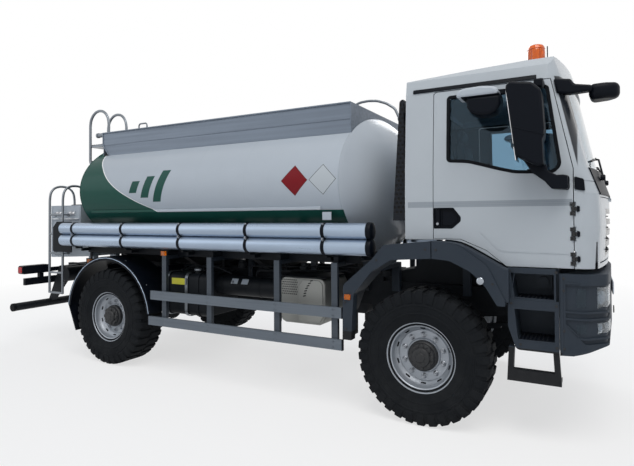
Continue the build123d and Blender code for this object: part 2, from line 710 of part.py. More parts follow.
def make_tube_brackets():
    """Clamps round each pair of tubes on arms from the cradle, front caps and the rear holder."""
    inner = tube_y - tube_radius
    low = tube_heights[0] - tube_radius
    high = tube_heights[1] + tube_radius
    solids = []
    for x in clamp_places:
        backing = block(x - 16, x + 16, -inner + seat_gap, -inner + 12, low - 30, high)
        arm_end = -460
        arm = block(x - 16, x + 16, -inner + 12, arm_end, low - 66, low - 30)
        hook = block(x - 16, x + 16, -tube_y, -inner + 12, low - 30, low - seat_gap)
        foot = side_profile([(x - 16, rail_top + 60), (x + 16, rail_top + 60), (x + 16, low - 30),
                             (x - 16, low - 30)], arm_end, -rail_half_spacing - seat_gap)
        bracket = backing + arm + hook + foot
        if x == clamp_places[-1]:
            bracket += block(x - 16, x + 16, -973 + seat_gap, -960, 1197, low - 60)
        solids.extend(both_sides(bracket))
    holder_front = tube_rear - seat_gap
    holder = side_profile([(tube_rear - 240, 1330, 30), (holder_front, 1330, 20), (holder_front, high + 20, 20),
                           (tube_rear - 150, high + 20, 60), (tube_rear - 240, high - 60, 60)],
                          -tube_y - 72, -inner + 12)
    solids.extend(both_sides(holder))
    cap = side_profile([(tube_front + seat_gap, low), (tube_front + 12, low), (tube_front + 12, high),
                        (tube_front + seat_gap, high)], -tube_y - tube_radius, -tube_y + tube_radius)
    solids.extend(both_sides(cap))
    return solids


# ---------------------------------------------------------------- rear equipment
cabinet_rear = -5372
cabinet_front = -4765
cabinet_y = 960
cabinet_bottom = 1240
cabinet_top = 1962
cabinet_wall = 24
cabinet_feet = (-5300, -4830)
bearer_top = rail_top + 80
hatch_thick = 22
hatch_axis_x = cabinet_rear - running_gap - hatch_thick / 2
hatch_axis_z = cabinet_top - 10
hatch_hinges = (-700, 0, 700)
hatch_pin = 6


def make_cabinet():
    """Equipment cabinet behind the tank, open to the rear."""
    shell = side_profile([(cabinet_rear, cabinet_bottom), (-4570, cabinet_bottom + 36), (-4570, 1360),
                          (cabinet_front, 1405), (cabinet_front, cabinet_top), (cabinet_rear, cabinet_top)],
                         -cabinet_y, cabinet_y)
    room = block(cabinet_rear - 1, cabinet_front - cabinet_wall, -cabinet_y + cabinet_wall, cabinet_y - cabinet_wall,
                 cabinet_bottom + cabinet_wall, cabinet_top - cabinet_wall)
    tunnel = block(-4764, -4500, -420, 420, 1200, 1410)
    shell = shell - room - tunnel
    for x in cabinet_feet:
        foot = block(x - 60, x + 60, rail_half_spacing - rail_flange, rail_half_spacing,
                     bearer_top + seat_gap, cabinet_bottom + cabinet_wall)
        shell = shell + foot + other_side(foot)
    latch = block(-5255, -5165, -cabinet_y - 14, -cabinet_y, 1846, 1868)
    latch = latch + block(-5170, -5150, -cabinet_y - 14, -cabinet_y, 1830, 1884)
    drip_rail = block(cabinet_rear + 20, cabinet_front - 20, -cabinet_y - 10, -cabinet_y, 1764, 1792)
    for fitting in (latch, Pos(280, 0, 0) * latch, drip_rail):
        shell = shell + fitting + other_side(fitting)
    for y in hatch_hinges:
        ear = y_cylinder(hatch_axis_x, hatch_axis_z, hatch_thick / 2, y - 6, y + 6)
        arm = block(hatch_axis_x, cabinet_rear + 2, y - 6, y + 6, hatch_axis_z - 10, hatch_axis_z + 8)
        pin = y_cylinder(hatch_axis_x, hatch_axis_z, hatch_pin, y - 46, y + 46)
        shell = shell + ear + arm + pin
    return shell


def make_cabinet_door():
    """Rear hatch with a rolled top edge that turns on the cabinet's hinge pins."""
    outer_x = hatch_axis_x - hatch_thick / 2
    panel = block(outer_x, outer_x + hatch_thick, -cabinet_y, cabinet_y, cabinet_bottom + 4, hatch_axis_z)
    panel = panel + y_cylinder(hatch_axis_x, hatch_axis_z, hatch_thick / 2, -cabinet_y, cabinet_y)
    field = block(outer_x - 1, outer_x + 5, -cabinet_y + 70, cabinet_y - 70, cabinet_bottom + 80,
                  hatch_axis_z - 80)
    panel = panel - field
    for y in hatch_hinges:
        slot_half = 6 + running_gap
        ear_reach = hatch_thick / 2 + running_gap
        panel = panel - block(outer_x - 1, outer_x + hatch_thick + 1, y - slot_half, y + slot_half,
                              hatch_axis_z - ear_reach, hatch_axis_z + ear_reach)
        panel = panel - y_cylinder(hatch_axis_x, hatch_axis_z, hatch_pin + pin_clearance, y - 52, y + 52)
    handle = block(outer_x - 38, outer_x + 8, -90, 90, 1330, 1352)
    return panel + handle


ladder_y = 1050
hoop_radius = 192


def make_ladder():
    """Side ladder with two hoops onto the cabinet, and the short ladder up to the coaming."""
    solids = []
    places = (-5300, -5015)
    side_ladder = None
    for x in places:
        rail = tube_path([(x, -ladder_y, 757), (x, -ladder_y, 2236), (x, -ladder_y + 2 * hoop_radius, 2236),
                          (x, -ladder_y + 2 * hoop_radius, cabinet_top + seat_gap)], 16,
                         [hoop_radius - 2, hoop_radius - 2])
        side_ladder = rail if side_ladder is None else side_ladder + rail
    for z in (765, 1041, 1305, 1570, 1835):
        side_ladder = side_ladder + x_cylinder(-ladder_y, z, 13, places[0], places[1])
    for x in places:
        for z in (1305, 1835):
            side_ladder = side_ladder + y_cylinder(x, z, 12, -ladder_y, -cabinet_y - seat_gap)
    solids.append(side_ladder)
    upper = None
    for y in (-866, -575):
        hoop = tube_path([(-4500, y, 2515), (-4690, y, 2515), (-4690, y, 3235), (-4320, y, 3235),
                          (-4320, y, deck_top + seat_gap)], 18, [40, 183, 183])
        upper = hoop if upper is None else upper + hoop
    tread = block(-4700, -4380, -866, -575, 2750, 2775)
    rung = y_cylinder(-4690, 2560, 13, -866, -575)
    upper = upper + tread + rung - make_barrel(seat_gap)
    solids.append(upper)
    return solids


def make_underrun_bar():
    """Round bar across the back on two arms from the rails."""
    x = -wheelbase - rear_overhang + 55
    bar = y_cylinder(x, 520, 55, -1199, 1199)
    for side in (-1, 1):
        y0, y1 = sorted((side * 560, side * 640))
        arm = side_profile([(x - 30, 520), (x + 30, 520), (-5560, 880), (-5560, 1080), (-5680, 1080)], y0, y1)
        b0, b1 = sorted((side * (rail_half_spacing + seat_gap), side * 570))
        seat = block(-5680, -5560, b0, b1, 900, 1080)
        bar = bar + arm + seat
    return bar


def make_tail_lights():
    """Lamp bars and plate bar carried behind the frame end."""
    x = -wheelbase - rear_overhang + 55
    solids = []
    lamp = front_profile([(-1086, 980, 30), (-1086, 1100, 30), (-674, 1100, 30), (-674, 980, 30)], x - 55, x + 55)
    post = block(x - 30, x + 30, -810, -750, 830, 1000)
    stay = block(x, -5800, -500, -rail_half_spacing - seat_gap, 985, 1045)
    stay = stay + block(x - 30, x + 30, -700, -rail_half_spacing - seat_gap, 985, 1045)
    plate_bar = block(x - 25, x + 25, -1027, -511, 815, 915)
    right = lamp + post + stay + plate_bar
    left = other_side(lamp + post + stay)
    solids.extend([right, left])
    return solids


# ---------------------------------------------------------------- cab
cab_sections = (
    # z, front x at the middle, half width, bow of the front, corner radius
    (1376, 1425, 1118, 110, 150),
    (1700, 1443, 1120, 110, 150),
    (1950, 1438, 1120, 115, 150),
    (2190, 1362, 1112, 125, 140),
    (2890, 1212, 1062, 140, 130),
    (3090, 1150, 1046, 140, 120),
)


def cab_outline(front_x, half_width, bow, corner, inset):
    """Plan of the cab at one height: flat rear, straight sides and a bowed front."""
    side = half_width - inset
    front = front_x - inset
    rear = cab_rear + inset
    corner_x = front - bow
    bow_arc = ThreePointArc((corner_x, -side), (front, 0), (corner_x, side))
    left = Line((corner_x, side), (rear, side))
    back = Line((rear, side), (rear, -side))
    right = Line((rear, -side), (corner_x, -side))
    face = make_face([bow_arc, left, back, right])
    front_corners = [vertex for vertex in face.vertices() if vertex.X > 0]
    return fillet(front_corners, corner - inset * 0.5)


def cab_form(inset=0.0):
    """Outer form of the cab, or the same form set in by a wall."""
    faces = []
    for z, front_x, half_width, bow, corner in cab_sections:
        faces.append(Plane.XY.offset(z) * cab_outline(front_x, half_width, bow, corner, inset))
    body = loft(faces, ruled=True)
    roof = [(cab_rear - 10, 1000), (1500, 1000), (1500, 3068 - inset), (924, 3066 - inset), (400, 3036 - inset),
            (cab_rear - 10, 2992 - inset)]
    body = body & side_profile(roof, -1200, 1200)
    across = [(-1300, 1000), (-1300, 2700), (-1069 + inset, 2838), (-1040 + inset, 2985 - inset),
              (-950 + inset, 3062 - inset), (-700, 3080 - inset), (700, 3080 - inset), (950 - inset, 3062 - inset),
              (1040 - inset, 2985 - inset), (1069 - inset, 2838), (1300, 2700), (1300, 1000)]
    body = body & front_profile(across, cab_rear - 20, 1600)
    return body


arch_profile = [(-400, 1000), (-400, arch_top), (330, arch_top, 420), (700, cab_bottom - 2), (700, 1000)]
door_outline = [(door_rear, 1700), (door_rear, door_top - 20), (door_rear + 20, door_top),
                (1022, door_top), (1046, 2747), (1108, 2444), (door_front, 2140), (door_front, cab_bottom),
                (690, cab_bottom), (540, 1500), (330, 1590), (door_rear, 1590)]
window_outline = [(226, 2252, 40), (396, 2237), (648, 2161), (762, 2131), (1036, 2118), (1085, 2170),
                  (999, 2804, 40), (226, 2804, 60)]
handle_recess = [(108, 1681), (260, 1681), (327, 1740), (327, 1772), (270, 1848), (108, 1848)]
handle_bar = [(120, 1690), (148, 1690), (148, 1838), (120, 1838)]
handle_recess_depth = 30
door_swage = [(495, 1640), (632, 1500), (680, 1488), (1140, 1480)]
flap_thick = 36
flap_axis_x = 1440             # the flap turns about pins just ahead of its top edge
flap_axis_z = 1922
flap_hinges = (-250, 250)
flap_hinge_radius = 9
flap_hinge_pin = 5
windscreen_top = 2868
windscreen_bottom = 2160


def surface_seam(side, points, depth, width=5):
    """Groove in the cab's side along a line of (x, z) points."""
    band = None
    for (x0, z0), (x1, z1) in zip(points, points[1:]):
        length = math.hypot(x1 - x0, z1 - z0)
        nx, nz = -(z1 - z0) / length * width / 2, (x1 - x0) / length * width / 2
        y0, y1 = sorted((side * 900, side * 1200))
        run = side_profile([(x0 + nx, z0 + nz), (x1 + nx, z1 + nz), (x1 - nx, z1 - nz), (x0 - nx, z0 - nz)], y0, y1)
        band = run if band is None else band + run
    return band & (cab_form(-1) - cab_form(depth))


def grown(corners, by):
    """Outline moved outwards by a gap: scaled about its middle, which is enough for a narrow gap."""
    xs = [corner[0] for corner in corners]
    zs = [corner[1] for corner in corners]
    cx, cz = (min(xs) + max(xs)) / 2, (min(zs) + max(zs)) / 2
    fx = 1 + 2 * by / (max(xs) - min(xs))
    fz = 1 + 2 * by / (max(zs) - min(zs))
    return [(cx + (corner[0] - cx) * fx, cz + (corner[1] - cz) * fz, *corner[2:]) for corner in corners]


door_inner_y = 992             # the door openings reach in to here


def make_tilt_arm(side):
    """Gooseneck from the cab's front beam back and down to the tilt pin."""
    y0, y1 = sorted((side * (tilt_arm_y - 24), side * (tilt_arm_y + 24)))
    bend = [(12.5, 21.7), (-88, 79.7), (-88, 170), (-138, 170), (-138, 50.8), (-12.5, -21.7)]
    arm = side_profile([(tilt_x + x, tilt_z + z) for x, z in bend], y0, y1)
    eye = y_cylinder(tilt_x, tilt_z, 25, y0, y1)
    bore = y_cylinder(tilt_x, tilt_z, tilt_pin + pin_clearance, y0 - 1, y1 + 1)
    return arm + eye - bore


def door_hinge_parts(side):
    """(what the shell carries, what the door carries, room for the shell's, room for the door's)."""
    y = side * door_hinge_y
    inboard = side * (door_hinge_y - 24)
    y0, y1 = sorted((y, inboard))
    knuckle = 15
    outer_knuckle = knuckle + running_gap
    end = 50
    room = door_hinge_radius + running_gap
    on_shell = []
    on_door = []
    shell_room = []
    door_room = []
    for z in door_hinge_heights:
        barrel = z_cylinder(door_front, y, door_hinge_radius, z - knuckle, z + knuckle)
        leaf = block(door_front, door_front + 30, y0, y1, z - knuckle, z + knuckle)
        pin = z_cylinder(door_front, y, door_hinge_pin, z - end, z + end)
        on_shell.append(barrel + leaf + pin)
        door_room.append(z_cylinder(door_front, y, room, z - outer_knuckle, z + outer_knuckle))
        bore = z_cylinder(door_front, y, door_hinge_pin + pin_clearance, z - end - 1, z + end + 1)
        door_room.append(bore)
        for low, high in ((z - end, z - outer_knuckle), (z + outer_knuckle, z + end)):
            barrel = z_cylinder(door_front, y, door_hinge_radius, low, high)
            leaf = block(door_front - 30, door_front, y0, y1, low, high)
            on_door.append(barrel + leaf - bore)
        shell_room.append(z_cylinder(door_front, y, room, z - end - running_gap, z - knuckle))
        shell_room.append(z_cylinder(door_front, y, room, z + knuckle, z + end + running_gap))
    return on_shell, on_door, shell_room, door_room


def make_cab_shell(outer, inner):
    """Hollow cab: roof, rear wall, pillars and floor, open at the doors and the windscreen."""
    room = inner & block(-400, 1600, -1200, 1200, cab_floor, 3200)
    under = block(cab_rear + 60, 1330, -1058, 1058, 1300, cab_floor - cab_floor_thick)
    shell = outer - room - under - side_profile(arch_profile, -1200, 1200)
    opening = grown(door_outline, running_gap)
    shell = shell - side_profile(opening, -1200, -door_inner_y)
    shell = shell - side_profile(opening, door_inner_y, 1200)
    screen = front_profile([(-930, windscreen_bottom), (-905, windscreen_top), (905, windscreen_top),
                            (930, windscreen_bottom)], 900, 1600)
    shell = shell - screen
    flap_opening = front_profile([(-960, 1410), (-960, 1925), (960, 1925), (960, 1410)], 1180, 1600)
    shell = shell - flap_opening
    beam = block(tilt_x - 145, 1335, -500, 500, 1376, 1410)
    shell = shell + beam
    for side in (-1, 1):
        shell = shell + make_tilt_arm(side)
        on_shell, _, shell_room, _ = door_hinge_parts(side)
        shell = shell - shell_room + on_shell
        seam = surface_seam(side, [(door_front, 2052), (1300, 2040), (1420, 2030)], 5)
        shell = shell - seam
    for y in flap_hinges:
        shell = shell - flap_knuckles(y, flap_hinge_radius + running_gap)
        ear = y_cylinder(flap_axis_x, flap_axis_z, flap_hinge_radius, y - 6, y + 6)
        arm = block(flap_axis_x - 30, flap_axis_x + 4, y - 6, y + 6, flap_axis_z, flap_axis_z + 18)
        pin = y_cylinder(flap_axis_x, flap_axis_z, flap_hinge_pin, y - 38, y + 38)
        shell = shell + ear + arm + pin
    return shell


def make_door(outer, inner_door, side):
    """Door panel with its window, handle recess, swage line and hinge knuckles."""
    skin = outer - inner_door
    y0, y1 = (-1200, -1000) if side < 0 else (1000, 1200)
    panel = skin & side_profile(door_outline, y0, y1)
    panel = panel - side_profile(window_outline, y0 - 1, y1 + 1)
    recess_floor = 1120 - handle_recess_depth
    r0, r1 = sorted((side * recess_floor, side * 1200))
    panel = panel - side_profile(handle_recess, r0, r1)
    b0, b1 = sorted((side * (recess_floor - 2), side * 1112))
    panel = panel + side_profile(handle_bar, b0, b1)
    panel = panel - surface_seam(side, door_swage, 3, 9)
    _, on_door, _, door_room = door_hinge_parts(side)
    return panel - door_room + on_door


def make_door_glass(side):
    """Glass pane in the middle of the door's thickness."""
    pane = cab_form(20) - cab_form(20 + glass_thick)
    y0, y1 = (-1200, -1000) if side < 0 else (1000, 1200)
    return pane & side_profile(grown(window_outline, -seat_gap), y0, y1)


def make_windscreen():
    pane = cab_form(14) - cab_form(14 + glass_thick)
    return pane & front_profile([(-930 + seat_gap, windscreen_bottom + seat_gap),
                                 (-905 + seat_gap, windscreen_top - seat_gap), (905 - seat_gap, windscreen_top - seat_gap),
                                 (930 - seat_gap, windscreen_bottom + seat_gap)], 900, 1600)


def flap_knuckles(y, radius):
    """Two barrels, one on each side of the ear at y."""
    first = y_cylinder(flap_axis_x, flap_axis_z, radius, y - 40, y - 12)
    return first + y_cylinder(flap_axis_x, flap_axis_z, radius, y + 12, y + 40)


def make_front_flap(outer, inner):
    """Service flap with the grille slots, hinged along its top edge."""
    skin = outer - inner
    edge = running_gap
    flap = skin & front_profile([(-960 + edge, 1410 + 2 * edge), (-960 + edge, 1925 - edge), (960 - edge, 1925 - edge),
                                 (960 - edge, 1410 + 2 * edge)], 1180, 1600)
    for z in (1480, 1570, 1660, 1750):
        flap = flap - front_profile([(-700, z), (-700, z + 46), (700, z + 46), (700, z)], 1100, 1600)
    for y in flap_hinges:
        ear_room = flap_hinge_radius + running_gap
        flap = flap - y_cylinder(flap_axis_x, flap_axis_z, ear_room, y - 12, y + 12)
        leaf = block(flap_axis_x - 30, flap_axis_x + flap_hinge_radius, y - 40, y - 12, flap_axis_z - 22, flap_axis_z)
        leaf = leaf + Pos(0, 52, 0) * leaf
        pin_room = y_cylinder(flap_axis_x, flap_axis_z, flap_hinge_pin + pin_clearance, y - 41, y + 41)
        flap = flap + flap_knuckles(y, flap_hinge_radius) + leaf - pin_room
    return flap


def make_front_panel(outer):
    """Black panel between the windscreen and the flap."""
    band = cab_form(-9) - cab_form(-seat_gap)
    return band & front_profile([(-1000, 1941), (-1000, 2150), (1000, 2150), (1000, 1941)], 1150, 1600)


def make_cab_interior():
    """Two seats and the dashboard, on the cab floor."""
    floor = cab_floor + seat_gap
    solids = []
    for y in (-520, 520):
        base = block(120, 560, y - 200, y + 200, floor, floor + 260)
        cushion = side_profile([(60, floor + 260), (620, floor + 260), (630, floor + 390, 40), (60, floor + 370)],
                               y - 250, y + 250)
        back = side_profile([(60, floor + 300), (160, floor + 320), (60, floor + 980, 30), (-40, floor + 980, 30),
                             (-30, floor + 300)], y - 240, y + 240)
        head = side_profile([(40, floor + 975), (60, floor + 1130, 20), (-30, floor + 1130, 20), (-30, floor + 975)],
                            y - 130, y + 130)
        solids.append(base + cushion + back + head)
    solids.append(make_dash())
    return solids


def make_dash(clearance=0.0):
    floor = cab_floor + seat_gap
    face = 860 - clearance
    return side_profile([(face + 20, 2080, 60), (face, 1980), (960, 1760), (1060, 1700), (1060, floor),
                         (1140, floor), (1150, 2120, 40)], -1020, 1020)


def make_steering_column():
    """Shroud and shaft from the steering wheel into the dashboard."""
    shroud = side_profile([(698, 2186), (741, 2216), (930, 2075), (930, 1880), (860, 2000)],
                          wheel_y - 45, wheel_y + 45)
    shaft = Pos(0, 0, -20 - seat_gap) * Cylinder(20, 40, align=(Align.CENTER, Align.CENTER, Align.MAX))
    return shroud - make_dash(seat_gap) + steering_wheel_place() * shaft


wheel_y = 520
steering_wheel_radius = 220
column_tilt = 35


def ring_of_flats(radius, waist=8):
    """Disc of 32 sides, 28 thick, that is wider at its waist than at its faces."""
    layers = ((-14, radius - waist), (0, radius), (14, radius - waist))
    sections = [Plane.XY.offset(z) * RegularPolygon(layer, 32) for z, layer in layers]
    return loft(sections, ruled=True)


def make_steering_wheel():
    ring = ring_of_flats(steering_wheel_radius + 14) - ring_of_flats(steering_wheel_radius - 14, waist=-8)
    spokes = Box(2 * steering_wheel_radius - 20, 40, 12) + Box(40, 2 * steering_wheel_radius - 20, 12)
    hub = Cylinder(55, 40)
    return steering_wheel_place() * (ring + spokes + hub)


def steering_wheel_place():
    return Pos(690, wheel_y, 2235) * Rot(0, -column_tilt, 0)


def make_intake():
    """Tall perforated air intake behind the cab, on the right."""
    body = side_profile([(-277, 1745), (-206, 2830, 30), (-170, 2830), (-170, 1745)], -1080, -820)
    foot = block(-260, cab_rear - seat_gap, -1000, -900, 1800, 1840)
    head = block(-200, cab_rear - seat_gap, -1000, -900, 2700, 2740)
    return body + foot + head


def make_roof_fittings():
    """Beacon, aerial, the front view mirror on its arm and the rails above the doors."""
    roof_z = 3064
    beacon = z_cylinder(880, -500, 95, roof_z - 20, roof_z + 70) + z_cylinder(880, -500, 72, roof_z + 60, 3318)
    aerial = z_cylinder(940, 0, 28, 3050, 3140) + z_cylinder(940, 0, 6, 3140, 3445)
    arm = side_profile([(1066, 2735), (1160, 2722), (1310, 2728), (1310, 2772), (1190, 2795), (1165, 2838),
                        (1046, 2856)], -1075, -985)
    head = plan_profile([(1290, -1030, 30), (front_overhang, -1010, 30), (front_overhang, -880, 50),
                         (1290, -800, 50)], 2672, 2790)
    roof = cab_form(-seat_gap)
    rail = (cab_form(-10) - roof) & side_profile([(-84, 2869), (-84, 2905), (923, 2905), (923, 2869)], -1200, 1200)
    return [beacon - roof, aerial - roof, arm + head - roof] + rail.solids()


def make_mirrors(side):
    """Main mirror on its arm and the kerb mirror above the window, on a door."""
    y = 1150
    housing = plan_profile([(730, -1180 - 250, 60), (985, -1200 - 250, 60), (1000, -1210, 60), (745, -1190, 60)],
                           2180, 2785)
    arm = side_profile([(800, 2190), (1000, 2100), (1180, 2060), (1180, 1985), (1000, 1995), (860, 2130)],
                       -1240, -1150)
    base = block(1000, door_front - 4, -1160, -1121, 1985, 2060)
    upper_arm = block(930, 985, -1210, -1066, 2800, 2830)
    upper = block(930, 985, -1240, -1180, 2770, 2815)
    kerb = plan_profile([(370, -1380, 60), (650, -1380, 60), (660, -1180, 60), (360, -1180, 60)], 2620, 2790)
    link = block(640, 800, -1240, -1210, 2740, 2775)
    mirrors = housing + arm + base + upper_arm + upper + kerb + link - cab_form(-seat_gap)
    return mirrors if side < 0 else other_side(mirrors)


# ---------------------------------------------------------------- bumper and lamps
bumper_top = 1335
lamp_places = ((1055, 765, 1080, 1236), (1055, 805, 885, 968))   # outer y, inner y, bottom, top


def bumper_plan(inset):
    side = 1150 - inset
    nose = 1452 - inset
    return [(1070, -side), (1250 - inset, -side, 120), (nose - 52, -1000 + inset / 2, 90), (nose, 0, 3000),
            (nose - 52, 1000 - inset / 2, 90), (1250 - inset, side, 120), (1070, side)]


def make_bumper():
    """Wrap-round bumper with slatted lamp fields, on the frame ends."""
    body = plan_profile(bumper_plan(0), 700, bumper_top)
    rim = body - plan_profile(bumper_plan(14), 690, bumper_top + 10)
    field = side_profile([(1112, 1252), (1112, 955), (1240, 815), (1500, 815), (1500, 1252)], -1200, 1200)
    middle = block(1000, 1500, -700, 700, 600, 1400)
    recess = (rim & field) - middle
    for z in (1043, 992, 848):
        recess = recess - block(1000, 1500, -1200, 1200, z, z + 14)
    body = body - recess
    side_cut = [(1040, 690), (1040, 715), (1160, 722), (1400, 800), (1500, 900), (1500, 690)]
    body = body - side_profile(side_cut, -1200, 1200)
    hollow = plan_profile([(1060, -1110), (1235, -1110), (1350, -975), (1380, 0), (1350, 975), (1235, 1110),
                           (1060, 1110)], 600, bumper_top - 16)
    body = body - hollow
    for y_out, y_in, z0, z1 in lamp_places:
        hole = block(1200, 1500, -y_out - seat_gap, -y_in + seat_gap, z0 - seat_gap, z1 + seat_gap)
        body = body - hole - other_side(hole)
    front_bolster = block(rail_front + seat_gap, 1400, -rail_half_spacing, rail_half_spacing, 900, 1060)
    body = body + front_bolster
    for side in (-1, 1):
        y0, y1 = sorted((side * (tilt_arm_y - 35), side * (tilt_arm_y + 35)))
        pocket = block(tilt_x - 170, tilt_x + 40, y0, y1, 1180, bumper_top + 1)
        body = body - pocket
        for cheek in (-1, 1):
            c0, c1 = sorted((side * tilt_arm_y + cheek * 32, side * tilt_arm_y + cheek * 48))
            plate = side_profile([(tilt_x - 60, 1050), (tilt_x + 16, 1050), (tilt_x + 16, tilt_z + 16, 15),
                                  (tilt_x - 22, tilt_z + 16, 15)], c0, c1)
            body = body + plate
        p0, p1 = sorted((side * (tilt_arm_y - 40), side * (tilt_arm_y + 40)))
        body = body + y_cylinder(tilt_x, tilt_z, tilt_pin, p0, p1)
    for y in (-front_tow_y, front_tow_y):
        body = body - x_cylinder(y, front_tow_z, front_tow_radius, 1452 - front_tow_depth, 1600)
    return body


def make_headlights():
    """Head lamps above the fog lamps, in the corners of the bumper."""
    lamps = []
    for y_out, y_in, z0, z1 in lamp_places:
        lamp = plan_profile([(1250, -y_out), (1325, -y_out, 40), (1392, -950, 40), (1414, -y_in), (1250, -y_in)],
                            z0, z1)
        lamps.extend(both_sides(lamp))
    return lamps


def make_marker_lamps():
    """Amber side lamps on the guards and the cabinet, and the round lamps on the front fenders."""
    solids = []
    for x, y0, y1, z0, z1 in side_lamps:
        solids.extend(both_sides(block(x - 28, x + 28, -y0, -y1, z0, z1)))
    round_x, round_z = fender_lamp
    lens = y_cylinder(round_x, round_z, 27, -fender_outer_y - 14, -fender_outer_y - seat_gap)
    solids.extend(both_sides(lens))
    return solids


# ---------------------------------------------------------------- writing
front_axle_x = (front_overhang + wheelbase + rear_overhang) / 2 - front_overhang


def write(name, shape):
    solids = shape if isinstance(shape, list) else [shape]
    placed = [Pos(front_axle_x, 0, 0) * solid for solid in solids]
    flat = [single for solid in placed for single in solid.solids()]
    export_step(Compound(children=flat), f"parts/{name}.step")


def main():
    os.makedirs("parts", exist_ok=True)
    tyre = make_tyre()
    wheel = make_wheel()
    for name, x, side in wheel_places():
        write(f"tyre_{name}", placed_wheel(tyre, x, side))
        write(f"wheel_{name}", placed_wheel(wheel, x, side))
    write("front_axle", make_front_axle())
    write("rear_axle", make_rear_axle())
    write("knuckle_right", make_knuckle(-1))
    write("knuckle_left", make_knuckle(1))
    write("tie_rod", make_tie_rod())
    write("leaf_springs", make_springs())
    write("frame_rails", make_rails())
    write("crossmembers", make_crossmembers())
    write("driveline", make_driveline())
    write("fuel_tank", make_fuel_tank())
    write("air_tanks", make_air_tanks())
    write("silencer", make_silencer())
    write("side_guards", make_side_guards())
    write("front_fenders", make_front_fenders())
    write("step_boxes", make_step_boxes())
    write("rear_mudguards", make_rear_mudguards())
    write("tank", make_tank())
    write("outlet_pipe", make_outlet_pipe())
    write("tank_cradle", make_tank_cradle())
    write("coaming", make_coaming())
    write("walkway", make_walkway())
    write("vent_pipes", make_vent_pipes())
    write("marker_lamps", make_marker_lamps())
    write("manhole_lid", make_manhole_lid(manhole_x[0]))
    write("rear_manhole_lid", make_manhole_lid(manhole_x[1]))
    write("hose_tubes", make_hose_tubes())
    write("tube_brackets", make_tube_brackets())
    write("cabinet", make_cabinet())
    write("cabinet_door", make_cabinet_door())
    write("ladder", make_ladder())
    write("underrun_bar", make_underrun_bar())
    write("tail_lights", make_tail_lights())
    outer = cab_form(0)
    inner = cab_form(cab_wall)
    write("cab_shell", make_cab_shell(outer, inner))
    for name, side in (("right", -1), ("left", 1)):
        write(f"door_{name}", make_door(outer, inner, side))
        write(f"door_glass_{name}", make_door_glass(side))
        write(f"mirrors_{name}", make_mirrors(side))
    write("windscreen", make_windscreen())
    write("front_flap", make_front_flap(outer, cab_form(flap_thick)))
    write("front_panel", make_front_panel(outer))
    write("cab_interior", make_cab_interior())
    write("steering_wheel", make_steering_wheel())
    write("steering_column", make_steering_column())
    write("air_intake", make_intake())
    write("roof_fittings", make_roof_fittings())
    write("bumper", make_bumper())
    write("headlights", make_headlights())


main()
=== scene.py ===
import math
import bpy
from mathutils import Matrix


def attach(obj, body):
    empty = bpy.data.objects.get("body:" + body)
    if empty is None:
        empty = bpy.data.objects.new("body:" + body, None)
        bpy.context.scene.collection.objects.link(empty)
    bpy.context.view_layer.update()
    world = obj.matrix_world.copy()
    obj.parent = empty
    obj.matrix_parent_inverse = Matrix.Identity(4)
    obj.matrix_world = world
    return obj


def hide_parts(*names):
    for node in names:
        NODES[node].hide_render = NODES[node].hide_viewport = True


bl_info = {
    "name": "Tanker truck finish",
    "version": (1, 0, 0),
    "blender": (4, 5, 0),
    "location": "3D Viewport > Sidebar > Tanker",
    "description": "Dresses the packed tanker truck with modelled detail, node materials and a studio stage",
    "category": "Object",
}

import bpy
from mathutils import Matrix, Vector

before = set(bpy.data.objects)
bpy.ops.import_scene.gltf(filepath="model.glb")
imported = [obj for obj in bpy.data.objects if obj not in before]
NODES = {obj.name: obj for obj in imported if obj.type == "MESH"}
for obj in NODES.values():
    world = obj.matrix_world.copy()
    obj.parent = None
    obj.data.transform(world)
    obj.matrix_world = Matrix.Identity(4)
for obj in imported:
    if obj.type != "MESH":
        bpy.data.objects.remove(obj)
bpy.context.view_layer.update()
FRONT_AXLE_X = 2.240
WHEELBASE = 3900                # this and all other whole sizes are in millimetres
WHEEL_Y = -1040                 # middle of a right-hand tyre
WHEEL_Z = 575
MERGE_DISTANCE = 0.00002
ON_AXIS = 0.01                  # radius of the pinhole that a turned solid keeps on its axis

AHEAD = Vector((1, 0, 0))
BACK = Vector((-1, 0, 0))
OUT = Vector((0, -1, 0))
UP = Vector((0, 0, 1))
MIRROR_Y = Matrix.Scale(-1, 4, (0, 1, 0))


# ------------------------------------------------------------ modelling steps
def at(x, y, z):
    """Point in metres from millimetres measured from the middle of the front axle, on the ground."""
    return Vector((FRONT_AXLE_X + x / 1000, y / 1000, z / 1000))


def in_millimetres(point):
    return (point.x - FRONT_AXLE_X) * 1000, point.y * 1000, point.z * 1000


HUB = at(0, WHEEL_Y, WHEEL_Z)


def deselect():
    if bpy.context.object and bpy.context.object.mode != "OBJECT":
        bpy.ops.object.mode_set(mode="OBJECT")
    bpy.ops.object.select_all(action="DESELECT")


def only(piece):
    """Select one piece alone and make it the active one."""
    deselect()
    piece.select_set(True)
    bpy.context.view_layer.objects.active = piece
    return piece


def edit(piece):
    only(piece)
    bpy.ops.object.mode_set(mode="EDIT")
    bpy.ops.mesh.select_all(action="SELECT")


def leave_edit():
    bpy.ops.object.mode_set(mode="OBJECT")


def settle(piece):
    """Put the object's place, turn and size into its mesh."""
    only(piece)
    bpy.ops.object.transform_apply(location=True, rotation=True, scale=True)
    return piece


def extrude(step):
    bpy.ops.mesh.extrude_region_move(TRANSFORM_OT_translate={"value": step})


def tidy_mesh(piece, angle=30):
    """Merge doubles, turn the faces outwards and shade smooth up to an angle."""
    edit(piece)
    bpy.ops.mesh.remove_doubles(threshold=MERGE_DISTANCE)
    bpy.ops.mesh.normals_make_consistent(inside=False)
    leave_edit()
    bpy.ops.object.shade_smooth_by_angle(angle=math.radians(angle))
    return piece


